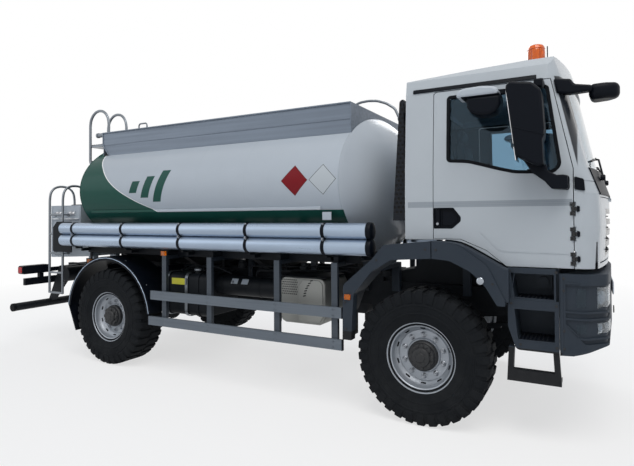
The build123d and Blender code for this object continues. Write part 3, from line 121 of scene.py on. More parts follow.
def finish_modifier(piece, kind, **settings):
    only(piece)
    modifier = piece.modifiers.new(kind.title(), kind)
    for key, value in settings.items():
        setattr(modifier, key, value)
    bpy.ops.object.modifier_apply(modifier=modifier.name)


def softened(piece, width, segments, angle=30):
    finish_modifier(piece, "BEVEL", width=width / 1000, segments=segments, limit_method="ANGLE",
                    angle_limit=math.radians(angle), harden_normals=False)
    only(piece)
    bpy.ops.object.shade_smooth_by_angle(angle=math.radians(35))
    return piece


def traced(points):
    """A line through points, drawn by extruding one vertex."""
    deselect()
    bpy.ops.mesh.primitive_plane_add(size=0.01, location=points[0])
    piece = bpy.context.object
    bpy.ops.object.mode_set(mode="EDIT")
    bpy.ops.mesh.select_all(action="SELECT")
    bpy.ops.mesh.merge(type="CENTER")
    for before, after in zip(points, points[1:]):
        extrude(Vector(after) - Vector(before))
    leave_edit()
    return settle(piece)


def outlined(outline, rounding=0, segments=4):
    """Closed flat outline, with rounded corners where asked, as a face in edit mode."""
    piece = traced(list(outline) + [outline[0]])
    edit(piece)
    bpy.ops.mesh.remove_doubles(threshold=MERGE_DISTANCE)
    bpy.ops.mesh.select_all(action="SELECT")
    if rounding:
        bpy.ops.mesh.bevel(offset=rounding / 1000, segments=segments, affect="VERTICES")
        bpy.ops.mesh.select_all(action="SELECT")
    bpy.ops.mesh.edge_face_add()
    return piece


def rounded_face(outline, rounding, segments=4):
    """Flat outline with rounded corners, as an object of one face."""
    piece = outlined(outline, rounding, segments)
    leave_edit()
    return piece


def plate(outline, thickness, bevel=2, segments=2):
    """Flat outline extruded by a thickness vector in metres, with its edges softened."""
    piece = outlined(outline)
    extrude(Vector(thickness))
    leave_edit()
    tidy_mesh(piece)
    return softened(piece, bevel, segments) if bevel else piece


def side_plate(corners, y0, y1, bevel=2, segments=2):
    """Outline of (x, z) corners extruded from y0 to y1, all in millimetres."""
    return plate([at(x, y0, z) for x, z in corners], (0, (y1 - y0) / 1000, 0), bevel, segments)


def plan_plate(corners, z0, z1, bevel=2, segments=2):
    return plate([at(x, y, z0) for x, y in corners], (0, 0, (z1 - z0) / 1000), bevel, segments)


def front_plate(corners, x0, x1, bevel=2, segments=2):
    return plate([at(x0, y, z) for y, z in corners], ((x1 - x0) / 1000, 0, 0), bevel, segments)


def box_corners(a0, a1, b0, b1):
    return [(a0, b0), (a1, b0), (a1, b1), (a0, b1)]


def bar(x0, x1, y0, y1, z0, z1, bevel=2, segments=2):
    """Rectangular bar with softened edges, in millimetres."""
    return side_plate(box_corners(x0, x1, z0, z1), y0, y1, bevel, segments)


def side_pad(corners, y0, y1, rounding=20, bevel=3):
    """Rounded outline of (x, z) corners, extruded from y0 to y1."""
    piece = rounded_face([at(x, y0, z) for x, z in corners], rounding)
    edit(piece)
    extrude((0, (y1 - y0) / 1000, 0))
    leave_edit()
    tidy_mesh(piece)
    return softened(piece, bevel, 2) if bevel else piece


def hollowed(piece, width, step):
    """Keep only a frame of a given width round a flat face, and extrude it by a step."""
    edit(piece)
    bpy.ops.mesh.inset(thickness=width / 1000, depth=0)
    bpy.ops.mesh.delete(type="FACE")
    bpy.ops.mesh.select_all(action="SELECT")
    extrude(step)
    leave_edit()
    return tidy_mesh(piece)


def side_frame(corners, width, y0, y1, rounding=25, bevel=1.5):
    """Frame of a given width inside a rounded outline of (x, z) corners."""
    piece = rounded_face([at(x, y0, z) for x, z in corners], rounding)
    return softened(hollowed(piece, width, (0, (y1 - y0) / 1000, 0)), bevel, 2)


def lathe(profile, centre, axis, steps=48, angle=30):
    """Profile of (along the axis, radius) in millimetres, spun about an axis through a centre."""
    across = UP if abs(axis[2]) < 0.5 else AHEAD
    points = [centre + axis * (along / 1000) + across * (radius / 1000) for along, radius in profile]
    piece = traced(points + [points[0]])
    edit(piece)
    bpy.ops.mesh.spin(steps=steps, angle=2 * math.pi, center=centre, axis=axis)
    leave_edit()
    return tidy_mesh(piece, angle)


def turned(profile, centre, axis, steps=48, angle=30):
    """Solid of revolution: a profile whose two ends run straight in to the axis."""
    ends = [(profile[0][0], ON_AXIS), (profile[-1][0], ON_AXIS)]
    return lathe(ends[:1] + profile + ends[1:], centre, axis, steps, angle)


def rod(points, radius, bend=0, sides=3):
    """Round bar along points in millimetres, with its corners rounded."""
    piece = traced([at(*point) for point in points])
    if bend:
        edit(piece)
        bpy.ops.mesh.bevel(offset=bend / 1000, segments=6, affect="VERTICES")
        leave_edit()
    only(piece)
    bpy.ops.object.convert(target="CURVE")
    curve = bpy.context.object.data
    curve.bevel_depth = radius / 1000
    curve.bevel_resolution = sides
    curve.use_fill_caps = True
    bpy.ops.object.convert(target="MESH")
    return tidy_mesh(bpy.context.object, 40)


def moved(piece, name, matrix):
    """Copy of a piece with its own mesh, put elsewhere by a matrix."""
    only(piece)
    bpy.ops.object.duplicate()
    copy = bpy.context.object
    copy.name = name
    copy.data.transform(matrix)
    if matrix.determinant() < 0:
        copy.data.flip_normals()
    return copy


def joined(name, pieces):
    deselect()
    for piece in pieces:
        piece.select_set(True)
    bpy.context.view_layer.objects.active = pieces[0]
    bpy.ops.object.join()
    pieces[0].name = name
    return pieces[0]


def shift(x=0, y=0, z=0):
    return Matrix.Translation(Vector((x, y, z)) / 1000)


def about(centre, axis, degrees):
    """Turn about an axis through a centre."""
    turn = Matrix.Rotation(math.radians(degrees), 4, axis)
    return Matrix.Translation(centre) @ turn @ Matrix.Translation(-centre)


def both_sides(piece):
    """Join a piece with its mirror copy across the truck."""
    return joined(piece.name, [piece, moved(piece, piece.name + "_other", MIRROR_Y)])


def repeated(piece, matrices):
    """Join a piece with its copies at some matrices."""
    return joined(piece.name, [piece] + [moved(piece, piece.name + "_copy", matrix) for matrix in matrices])


def ring_of(piece, count, centre, axis):
    """Copies of a piece spaced evenly round an axis, joined to it."""
    return repeated(piece, [about(centre, axis, 360 * index / count) for index in range(1, count)])


def row_of(piece, count, step):
    """Copies of a piece along a row, joined to it; step is in millimetres."""
    return repeated(piece, [shift(*(Vector(step) * index)) for index in range(1, count)])


def bolt(centre, axis=OUT, radius=9, height=7):
    """Hexagonal bolt head on a washer, standing along an axis."""
    washer, washer_top = radius * 1.45, height * 0.25
    profile = [(0, washer), (washer_top, washer), (washer_top, radius), (height * 0.9, radius),
               (height, radius * 0.8)]
    return turned(profile, centre, axis, steps=6, angle=20)


def place(piece, body, finish, *replaced):
    """Give a piece its material and its body, and hide the nodes it stands for."""
    piece.data.materials.clear()
    piece.data.materials.append(MATERIALS[finish])
    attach(piece, body)
    if replaced:
        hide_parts(*replaced)
    return piece


def fit(name, pieces, finish, body="chassis", *replaced):
    """Join pieces under one name and place them."""
    return place(joined(name, pieces), body, finish, *replaced)


def fit_both(name, pieces, finish, body="chassis", *replaced):
    """Join pieces and their mirror copies across the truck under one name and place them."""
    return place(both_sides(joined(name, pieces)), body, finish, *replaced)


def fit_doors(name, pieces, finish, replaced=""):
    """Put right-hand pieces on the right door and their mirror copy on the left."""
    right = joined(name, pieces)
    left = moved(right, name + "_left", MIRROR_Y)
    for piece, side in ((right, "right"), (left, "left")):
        nodes = [f"{replaced}_{side}"] if replaced else []
        place(piece, side + "_door", finish, *nodes)


# ------------------------------------------------------------ node materials
GROUPS = {}


class Value:
    """Number in a node tree that adds, scales and turns into masks."""

    def __init__(self, tree, socket):
        self.tree = tree
        self.socket = socket

    def calc(self, operation, b=0.0, c=0.0):
        made = put(self.tree, "Math", {0: self, 1: b, 2: c}, operation=operation)
        return Value(self.tree, made.outputs[0])

    def __add__(self, other):
        return self.calc("ADD", other)

    def __sub__(self, other):
        return self.calc("SUBTRACT", other)

    def __mul__(self, other):
        return self.calc("MULTIPLY", other)

    def __truediv__(self, other):
        return self.calc("DIVIDE", other)

    def __abs__(self):
        return self.calc("ABSOLUTE")

    def ramp(self, from_low, from_high, to_low=0.0, to_high=1.0):
        """Map one range to another; by default a mask that is 1 at from_high."""
        made = put(self.tree, "MapRange", {0: self, 1: from_low, 2: from_high, 3: to_low, 4: to_high})
        return Value(self.tree, made.outputs[0])

    def band(self, centre, half_width, softness=0.001):
        """Mask that is 1 within a half width of a centre."""
        inputs = {"Value": self, "Centre": centre, "Half Width": half_width, "Softness": softness}
        made = put(self.tree, "Group", inputs, node_tree=GROUPS["stripe"])
        return Value(self.tree, made.outputs["Mask"])


def feed(tree, value, socket):
    """Link a value to a socket, or set the socket where the value is plain."""
    if isinstance(value, Value):
        value = value.socket
    if isinstance(value, bpy.types.NodeSocket):
        tree.links.new(value, socket)
    else:
        socket.default_value = value


def put(tree, kind, inputs=None, **settings):
    """Add a shader node, set its options and link or fill its inputs."""
    made = tree.nodes.new("ShaderNode" + kind)
    for key, value in settings.items():
        setattr(made, key, value)
    for key, value in (inputs or {}).items():
        feed(tree, value, made.inputs[key])
    return made


def noise(tree, coords, scale, detail, **more):
    made = put(tree, "TexNoise", {"Vector": coords, "Scale": scale, "Detail": detail, **more})
    return Value(tree, made.outputs[0])


def new_group(name, inputs, outputs):
    """Node group with named sockets: numbers, or colours where the default is a tuple."""
    tree = bpy.data.node_groups.new(name, "ShaderNodeTree")
    for label, default in inputs.items():
        kind = "Color" if isinstance(default, tuple) else "Float"
        socket = tree.interface.new_socket(name=label, in_out="INPUT", socket_type="NodeSocket" + kind)
        socket.default_value = default
    for label in outputs:
        kind = "Color" if label == "Colour" else "Float"
        tree.interface.new_socket(name=label, in_out="OUTPUT", socket_type="NodeSocket" + kind)
    entry = tree.nodes.new("NodeGroupInput")
    leave = tree.nodes.new("NodeGroupOutput")
    given = {label: Value(tree, entry.outputs[label]) for label in inputs}
    return tree, given, leave.inputs


def build_weathering():
    """Blotches, road dust that gathers low down, and a fine grain."""
    tree, given, out = new_group("road_weathering", {
        "Colour": (0.5, 0.5, 0.5, 1), "Roughness": 0.5, "Dust Colour": (0.20, 0.20, 0.20, 1), "Dust": 0.2,
        "Clean Above": 1.6, "Blotch Scale": 3.0, "Blotch": 0.06, "Grain Scale": 300.0,
    }, ("Colour", "Roughness", "Height"))
    coords = put(tree, "TexCoord").outputs["Object"]
    height = Value(tree, put(tree, "SeparateXYZ", {0: coords}).outputs[2])
    blotch = noise(tree, coords, given["Blotch Scale"], 4.0)
    grain = noise(tree, coords, given["Grain Scale"], 3.0)
    patches = noise(tree, coords, 7.0, 6.0, Roughness=0.65)
    value = (blotch - 0.5) * given["Blotch"] * 2.0 + 1.0
    varied = put(tree, "HueSaturation", {"Color": given["Colour"], "Value": value}).outputs[0]
    film = height.ramp(given["Clean Above"], 0.2) * patches.ramp(0.35, 0.7) * given["Dust"]
    dusty = put(tree, "Mix", {0: film, 6: varied, 7: given["Dust Colour"]}, data_type="RGBA").outputs[2]
    feed(tree, dusty, out["Colour"])
    feed(tree, film * 0.35 + given["Roughness"] + (grain - 0.5) * 0.08, out["Roughness"])
    feed(tree, grain, out["Height"])
    return tree


def build_stripe():
    """Mask of a band about a centre value, with soft edges."""
    tree, given, out = new_group("stripe", {"Value": 0.0, "Centre": 0.0, "Half Width": 0.1, "Softness": 0.001},
                                 ("Mask",))
    away = abs(given["Value"] - given["Centre"])
    half, soft = given["Half Width"], given["Softness"]
    feed(tree, away.ramp(half + soft, half - soft), out["Mask"])
    return tree


def build_dots():
    """Mask of round holes in staggered rows."""
    tree, given, out = new_group("staggered_dots", {"U": 0.0, "V": 0.0, "Pitch": 0.02, "Radius": 0.006}, ("Mask",))
    row = given["V"] / given["Pitch"]
    odd = row.calc("FLOOR").calc("FLOORED_MODULO", 2.0) * 0.5
    column = given["U"] / given["Pitch"] + odd
    du = column.calc("FRACT") - 0.5
    dv = row.calc("FRACT") - 0.5
    size = given["Radius"] / given["Pitch"]
    feed(tree, (du * du + dv * dv).calc("SQRT").ramp(size * 1.15, size * 0.85), out["Mask"])
    return tree


class Finish:
    """One material being built: a colour that masks are laid over, then weathering and the shader."""

    def __init__(self, name, colour, roughness, metallic=0.0, dust=0.15, clean_above=1.5, blotch=0.05,
                 grain=350.0, bump=0.03, coat=0.0, streaks=None, gloss=0.5):
        self.material = bpy.data.materials.new(name)
        self.material.use_nodes = True
        self.tree = self.material.node_tree
        self.shader = self.tree.nodes["Principled BSDF"]
        self.set("Metallic", metallic)
        self.set("Coat Weight", coat)
        self.set("Specular IOR Level", gloss)
        self.set("Coat Roughness", 0.05)
        coords = put(self.tree, "TexCoord").outputs["Object"]
        parts = put(self.tree, "SeparateXYZ", {0: coords}).outputs
        self.x, self.y, self.z = [Value(self.tree, part) for part in parts]
        self.colour = (*colour, 1.0)
        self.roughness = roughness
        self.weathering = {"Dust": dust, "Clean Above": clean_above, "Blotch": blotch, "Grain Scale": grain}
        self.bump = bump
        self.heights = []
        if streaks:
            stretched = put(self.tree, "Mapping", {"Vector": coords, "Scale": streaks}).outputs[0]
            strokes = noise(self.tree, stretched, 1.0, 5.0)
            self.lay(strokes.ramp(0.35, 0.75, 0.0, 0.5), tuple(min(1.0, part * 0.72) for part in colour))
            self.roughness = strokes.ramp(0.3, 0.7, roughness * 0.8, roughness * 1.25)

    def set(self, label, value):
        self.shader.inputs[label].default_value = value

    def from_axle(self):
        """Distance ahead of the front axle."""
        return self.x - FRONT_AXLE_X

    def lay(self, mask, colour):
        """Paint a colour over what is there by a mask."""
        mixed = put(self.tree, "Mix", {0: mask, 6: self.colour, 7: (*colour, 1.0)}, data_type="RGBA")
        self.colour = mixed.outputs[2]

    def dots(self, u, v, pitch, radius):
        inputs = {"U": u, "V": v, "Pitch": pitch, "Radius": radius}
        made = put(self.tree, "Group", inputs, node_tree=GROUPS["dots"])
        return Value(self.tree, made.outputs["Mask"])

    def relief(self, mask, height):
        """Raise or sink the surface by a mask, in metres."""
        self.heights.append(mask * height)

    def done(self):
        tree = self.tree
        made = put(tree, "Group", {"Colour": self.colour, "Roughness": self.roughness, **self.weathering},
                   node_tree=GROUPS["weathering"])
        feed(tree, made.outputs["Colour"], self.shader.inputs["Base Color"])
        feed(tree, made.outputs["Roughness"], self.shader.inputs["Roughness"])
        grain = Value(tree, made.outputs["Height"]) * 0.0004
        normal = put(tree, "Bump", {"Strength": self.bump, "Distance": 1.0, "Height": grain}).outputs[0]
        for height in self.heights:
            inputs = {"Strength": 1.0, "Distance": 1.0, "Height": height, "Normal": normal}
            normal = put(tree, "Bump", inputs).outputs[0]
        feed(tree, normal, self.shader.inputs["Normal"])
        return self.material


def cab_paint(colours):
    # The base colour is the white paint with painted open shade in it.
    finish = Finish("cab_paint", colours.cab_white, 0.26, dust=0.06, clean_above=1.9, blotch=0.03, grain=900,
                    bump=0.01, coat=0.25, gloss=0.3)
    x, y, z = finish.from_axle(), finish.y, finish.z
    across = abs(y)
    width = across + (z - 2.12).calc("MAXIMUM", 0.0) * 0.0758
    inside = width.ramp(1.098, 1.094) * z.ramp(1.645, 1.652) * z.ramp(2.885, 2.878)
    finish.lay(inside * x.ramp(-0.135, -0.130) * x.ramp(1.21, 1.20), (0.020, 0.024, 0.030))
    band = across.ramp(1.100, 1.112) * z.band(1.881, 0.025) * x.band(0.520, 0.644)
    finish.lay(band, colours.stripe_grey)
    proud = across.ramp(1.1206, 1.1212) * x.band(1.180, 0.032) * z.ramp(1.90, 1.89)
    finish.lay(proud, (0.004, 0.005, 0.007))
    grille = x.ramp(1.30, 1.31) * z.band(1.645, 0.190, 0.004) * y.band(0.0, 0.735, 0.004)
    finish.lay(grille, (0.008, 0.009, 0.011))
    ribs = (z - 1.856).calc("PINGPONG", 0.0083).band(0.0, 0.001)
    finish.lay(band * ribs, tuple(part * 0.8 for part in colours.stripe_grey))
    return finish.done()


SWEEP_FOOT, SWEEP_RISE = 1.3, 1.65       # heights that the sweep's curve covers
SWEEP_BACK, SWEEP_LENGTH = -4.6, 1.8     # lengths that it covers, from the front axle
SWEEP = ((1.30, -2.90), (1.80, -3.00), (1.851, -3.121), (2.00, -3.50), (2.19, -3.85), (2.38, -4.08),
         (2.574, -4.27), (2.95, -4.42))
PLACARD_Z = 2.139


def tank_paint(colours):
    """White barrel with a green sweep and band, blank placards, slanted bars and seams."""
    # The base colour is the white paint with painted open shade and painted sky reflection in it.
    finish = Finish("tank_paint", colours.tank_white_and_painted_shade, 0.20, dust=0.06, clean_above=2.2, blotch=0.03, grain=900,
                    bump=0.01, gloss=0.12)
    x, z = finish.from_axle(), finish.z
    curve = put(finish.tree, "FloatCurve", {"Value": z.ramp(SWEEP_FOOT, SWEEP_FOOT + SWEEP_RISE)})
    points = curve.mapping.curves[0].points
    spots = [((high - SWEEP_FOOT) / SWEEP_RISE, (along - SWEEP_BACK) / SWEEP_LENGTH) for high, along in SWEEP]
    points[0].location = spots[0]
    points[-1].location = spots[-1]
    for spot in spots[1:-1]:
        points.new(*spot)
    curve.mapping.update()
    behind = Value(finish.tree, curve.outputs[0]) * SWEEP_LENGTH + SWEEP_BACK - x
    finish.lay(behind.band(0.0, 0.008, 0.002), (0.9, 0.91, 0.9))
    sweep = behind.ramp(0.008, 0.011)
    ahead = x.ramp(-0.752, -0.756)
    finish.lay(sweep.calc("MAXIMUM", z.ramp(1.852, 1.848) * ahead), colours.tank_green)
    finish.lay(z.band(1.856, 0.003) * ahead * (sweep * -1.0 + 1.0), (0.45, 0.48, 0.5))
    sides = abs(finish.y).ramp(0.6, 0.7)
    for along, fill, border in ((-1.243, colours.placard_red, (0.10, 0.01, 0.01)),
                                (-0.932, (0.50, 0.54, 0.57), (0.01, 0.01, 0.015))):
        away = abs(x - along) + abs(z - PLACARD_Z)
        finish.lay(away.ramp(0.1515, 0.1495) * sides, fill)
        finish.lay(away.band(0.143, 0.0030) * sides, border)
    for along, high, reach in ((-3.46, 2.150, 0.070), (-3.25, 2.145, 0.125), (-3.04, 2.150, 0.180)):
        slant = (z - high) * -0.42 + (x - along)
        mask = slant.band(0.0, 0.062, 0.002) * z.band(high, reach, 0.002) * sides
        finish.lay(mask, colours.tank_green)
    for seam in (-1.845, -2.50, -3.159):
        finish.relief(x.band(seam, 0.004, 0.003), 0.0012)
    return finish.done()


def clear_glass(name, colour, roughness, transmission=1.0, weave=None):
    """Glass or lamp lens; the colour varies a little over it."""
    finish = Finish(name, colour, roughness, dust=0.03, blotch=0.04, grain=60, bump=0.004)
    finish.set("Transmission Weight", transmission)
    finish.set("IOR", 1.45)
    finish.set("Specular Tint", (0.62, 0.80, 0.95, 1))
    if weave:
        waves = getattr(finish, weave).calc("PINGPONG", 0.006).band(0.0, 0.003, 0.003)
        finish.relief(waves, 0.0008)
    return finish.done()


def perforated(name, colour, hole_shade, roughness, metallic, across, pitch, radius, heights, lengths=None):
    """Sheet with rows of punched holes, within a middle and half of its heights and lengths; the holes are painted
    dark, as painted shade behind the sheet.
    """
    finish = Finish(name, colour, roughness, metallic, dust=0.06, blotch=0.08, grain=120, bump=0.05, gloss=0.2)
    row = finish.x + finish.y if across == "both" else getattr(finish, across)
    holes = finish.dots(row, finish.z, pitch, radius) * finish.z.band(*heights, 0.002)
    if lengths:
        holes = holes * finish.x.band(*lengths, 0.002)
    # The holes' dark colour is painted shade: the dark space behind each hole.
    finish.lay(holes, hole_shade)
    finish.relief(holes, -0.004)
    return finish.done()


def slate_plastic(colour):
    """Moulded slate plastic; the hanging step below the boxes is painted near-black, as painted shade under the
    boxes.
    """
    finish = Finish("moulded_slate", colour, 0.55, dust=0.06, clean_above=1.7, blotch=0.08, grain=700, bump=0.25,
                    gloss=0.25)
    # Painted shade: slate parts below 742 mm, behind the bumper, are painted near-black.
    finish.lay(finish.z.ramp(0.742, 0.738) * finish.from_axle().ramp(1.086, 1.082), (0.003, 0.004, 0.006))
    return finish.done()


def guard_alloy(colours):
    """Grey rails outside, slate posts behind them."""
    finish = Finish("guard_alloy", (0.13, 0.155, 0.185), 0.45, 0.4, dust=0.12, blotch=0.06, streaks=(0.8, 40, 40))
    finish.lay(abs(finish.y).ramp(1.2006, 1.1998), colours.plastic_slate)
    return finish.done()


def beacon_shell():
    finish = Finish("beacon_orange", (0.95, 0.16, 0.006), 0.12, dust=0.02, blotch=0.05, grain=80, bump=0.01)
    finish.set("Transmission Weight", 0.25)
    ribs = finish.y.calc("PINGPONG", 0.006).band(0.0, 0.002, 0.002)
    finish.lay(ribs * finish.z.band(3.22, 0.06), (0.6, 0.07, 0.002))
    return finish.done()


def seat_fabric():
    finish = Finish("seat_fabric", (0.05, 0.055, 0.065), 0.85, dust=0.0, blotch=0.1, grain=900, bump=0.5)
    weave = finish.dots(finish.y, finish.z, 0.006, 0.0022)
    finish.lay(weave, (0.10, 0.11, 0.13))
    finish.relief(weave, 0.0004)
    return finish.done()


# key: name, colour, roughness, metallic, dust, height it is clean above, blotch, grain, bump and gloss
PLAIN_FINISHES = {
    "black": ("black_plastic", (0.002, 0.0035, 0.007), 0.42, 0.0, 0.04, 1.5, 0.08, 600, 0.15, 0.10),
    "chassis": ("chassis_black", (0.007, 0.009, 0.012), 0.5, 0.0, 0.08, 1.4, 0.1, 90, 0.2, 0.12),
    "cast": ("cast_grey", (0.016, 0.019, 0.023), 0.6, 0.2, 0.12, 1.3, 0.12, 160, 0.5, 0.2),
    "rubber": ("tyre_rubber", (0.009, 0.0105, 0.0125), 0.8, 0.0, 0.05, 1.25, 0.12, 240, 0.35, 0.10),
    "seal": ("rubber_seal", (0.002, 0.003, 0.005), 0.6, 0.0, 0.02, 1.5, 0.05, 500, 0.1, 0.1),
    "rim": ("rim_silver", (0.36, 0.39, 0.43), 0.40, 0.5, 0.10, 1.3, 0.08, 500, 0.08, 0.5),
    "hub": ("hub_black", (0.008, 0.009, 0.011), 0.5, 0.1, 0.08, 1.3, 0.12, 150, 0.3, 0.5),
    "nut": ("plated_nut", (0.30, 0.32, 0.35), 0.34, 0.85, 0.06, 1.5, 0.1, 400, 0.08, 0.5),
    "chrome": ("bright_chrome", (0.75, 0.76, 0.78), 0.08, 1.0, 0.02, 1.5, 0.03, 50, 0.005, 0.5),
    "trim": ("cab_trim", (0.010, 0.014, 0.020), 0.65, 0.0, 0.02, 1.5, 0.08, 500, 0.3, 0.5),
    "label": ("blank_label", (0.72, 0.68, 0.06), 0.5, 0.0, 0.1, 1.5, 0.06, 350, 0.03, 0.5),
    "bulb": ("lamp_reflector", (0.34, 0.37, 0.41), 0.15, 1.0, 0.0, 1.5, 0.03, 40, 0.01, 0.5),
}


def make_materials(colours):
    GROUPS.update(weathering=build_weathering(), stripe=build_stripe(), dots=build_dots())
    made = {
        "cab": cab_paint(colours),
        "tank": tank_paint(colours),
        "white": Finish("cabinet_paint", colours.tank_white_and_painted_shade, 0.35, dust=0.12, gloss=0.3).done(),
        # The coaming's colour is its white paint in painted shade.
        "coaming": Finish("coaming_white_in_painted_shade", colours.coaming_white_in_painted_shade, 0.42, 0.35, dust=0.05, blotch=0.06,
                          streaks=(0.6, 30, 30)).done(),
        "slate": slate_plastic(colours.plastic_slate),
        "beacon": beacon_shell(),
        "tube": Finish("hose_tube_alloy", (0.36, 0.44, 0.55), 0.30, 0.7, dust=0.05, blotch=0.04,
                       streaks=(0.5, 14, 14)).done(),
        "guard": guard_alloy(colours),
        "steel": Finish("bare_steel", (0.20, 0.22, 0.245), 0.36, 0.85, dust=0.08, blotch=0.08,
                        streaks=(9, 9, 0.8)).done(),
        # The second colour of each perforated sheet is painted shade in its holes.
        "deck": perforated("deck_grating", (0.35, 0.36, 0.37), (0.02, 0.02, 0.02), 0.5, 0.7, "x", 0.04, 0.012,
                           (2.88, 0.1)),
        "intake": perforated("intake_grille", (0.006, 0.008, 0.012), (0.001, 0.001, 0.001), 0.5, 0.0, "both",
                             0.040, 0.012, (2.29, 0.50)),
        "shield": perforated("silencer_shield", (0.30, 0.305, 0.29), (0.008, 0.008, 0.008), 0.42, 0.45, "x",
                             0.024, 0.0070, (1.066, 0.080), (FRONT_AXLE_X - 1.430, 0.094)),
        "glass": clear_glass("window_glass", (0.36, 0.50, 0.60), 0.02),
        "lens": clear_glass("lamp_lens", (0.52, 0.57, 0.62), 0.03, weave="y"),
        "amber": clear_glass("amber_lens", (0.85, 0.24, 0.01), 0.12, 0.55, weave="z"),
        "red": clear_glass("red_lens", (0.75, 0.01, 0.01), 0.15, 0.35, weave="z"),
        "fabric": seat_fabric(),
    }
    for key, values in PLAIN_FINISHES.items():
        name, colour, roughness, metallic, dust, clean, blotch, grain, bump, gloss = values
        finish = Finish(name, colour, roughness, metallic, dust, clean, blotch, grain, bump, gloss=gloss)
        made[key] = finish.done()
    return made


NODE_FINISHES = {
    "cab": "cab_shell door_right door_left front_flap",
    "tank": "tank",
    "white": "cabinet cabinet_door",
    "coaming": "coaming",
    "slate": "front_fenders step_boxes bumper",
    "black": "front_panel mirrors_right mirrors_left roof_fittings rear_mudguards steering_wheel "
             "steering_column tail_lights",
    "chassis": "frame_rails crossmembers tank_cradle underrun_bar leaf_springs fuel_tank air_tanks rear_axle "
               "tube_brackets",
    "cast": "driveline front_axle knuckle_right knuckle_left tie_rod",
    "rubber": "tyre_front_right tyre_front_left tyre_rear_right tyre_rear_left",
    "rim": "wheel_front_right wheel_front_left wheel_rear_right wheel_rear_left",
    "tube": "hose_tubes",
    "guard": "side_guards",
    "steel": "ladder outlet_pipe vent_pipes manhole_lid rear_manhole_lid",
    "deck": "walkway",
    "intake": "air_intake",
    "shield": "silencer",
    "glass": "windscreen door_glass_right door_glass_left",
    "lens": "headlights",
    "amber": "marker_lamps",
    "fabric": "cab_interior",
}
MATERIALS = {}


# ------------------------------------------------------------ sizes and colours a user may change
def paint(name, description, default):
    return bpy.props.FloatVectorProperty(name=name, description=description, subtype="COLOR", default=default)


def length(name, description, default):
    return bpy.props.FloatProperty(name=name, description=description, default=default, unit="LENGTH")


class TankerColours(bpy.types.PropertyGroup):
    """Colours of the truck's finishes."""

    # Cab white is white paint set darker and bluer than it is: painted open shade under a blue sky.
    cab_white: paint("Cab white", "Paint of the cab and doors", (0.46, 0.50, 0.535))
    # Tank white is white paint set darker and bluer than it is: painted open shade and a painted reflection of blue
    # sky. The cabinet and other white parts share it.
    tank_white_and_painted_shade: paint("Tank white", "Paint of the barrel and the cabinet", (0.46, 0.505, 0.555))
    tank_green: paint("Tank green", "Sweep, band and bars on the barrel", (0.012, 0.075, 0.058))
    stripe_grey: paint("Stripe grey", "Band along the cab", (0.30, 0.335, 0.37))
    # The coaming is white like the tank; its dark blue-grey colour is painted shade.
    coaming_white_in_painted_shade: paint("Coaming white in painted shade", "Box on top of the tank", (0.17, 0.205, 0.255))
    placard_red: paint("Placard red", "Red blank placard", (0.20, 0.010, 0.015))
    plastic_slate: paint("Slate plastic", "Fenders, steps and bumper", (0.021, 0.030, 0.043))
    floor_pale: paint("Floor", "Studio floor", (0.93, 0.93, 0.93))


class TankerSizes(bpy.types.PropertyGroup):
    """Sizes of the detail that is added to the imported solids, in metres."""

    lug_count: bpy.props.IntProperty(
        name="Tyre lugs", description="Shoulder lugs round one side of a tyre", default=34, min=12, max=48)
    nut_radius: length("Wheel nut radius", "Half width of a wheel nut", 0.017)
    clamp_width: length("Clamp width", "Width of a hose tube clamp", 0.034)
    weld_height: length("Weld bead", "Height of the weld beads on the barrel", 0.004)


def sizes():
    return bpy.context.scene.tanker_sizes


# ------------------------------------------------------------ wheels
WHEELS = (      # name, x and side
    ("front_right", 0, -1), ("front_left", 0, 1),
    ("rear_right", -WHEELBASE, -1), ("rear_left", -WHEELBASE, 1),
)
AXLE_WAY = Vector((0, 1, 0))


def on_tyre(outline, half_length, bevel):
    """Outline of (across, radius) from the tyre's middle, extruded along the truck."""
    corners = [(WHEEL_Y + across, WHEEL_Z + radius) for across, radius in outline]
    return front_plate(corners, -half_length, half_length, bevel, 1)


def tyre_carcass():
    side = [(-118, 266), (-150, 268), (-158, 282), (-164, 300), (-168, 304), (-172, 300), (-180, 330),
            (-190, 370), (-194, 374), (-194, 384), (-191, 388), (-195, 415), (-194, 440), (-197, 444),
            (-197, 452), (-193, 456), (-190, 485), (-186, 518), (-170, 552), (-90, 560)]
    profile = side + [(-across, radius) for across, radius in reversed(side)]
    return lathe(profile, HUB, AXLE_WAY, steps=72, angle=28)


def shoulder_lug():
    """Lug over the shoulder, its foot running down the sidewall."""
    return on_tyre([(-26, 540), (-28, 574), (-150, 574.5), (-170, 571), (-183, 556), (-193, 520),
                    (-196.5, 494), (-196.5, 470), (-184, 462), (-160, 520)], 31, 3)


def middle_lug():
    corners = [(-34, 8), (16, 4), (38, 74), (-4, 78)]
    return plan_plate([(x, WHEEL_Y - y) for x, y in corners], WHEEL_Z + 540, WHEEL_Z + 574, 3, 1)


def sidewall_blocks():
    block = on_tyre([(-188, 402), (-196.5, 405), (-196.5, 428), (-188, 431)], 15, 1.5)
    return ring_of(block, 14, HUB, "Y")


def make_tyre():
    count = sizes().lug_count
    flip = Matrix.Translation(HUB) @ MIRROR_Y @ Matrix.Translation(-HUB)
    lugs = []
    for lug in (shoulder_lug, middle_lug):
        outer = ring_of(lug(), count, HUB, "Y")
        inner = moved(outer, "inner_lugs", flip)
        inner.data.transform(about(HUB, "Y", 180 / count))
        lugs += [outer, inner]
    return joined("tyre_front_right_detail", [tyre_carcass()] + lugs + [sidewall_blocks()])


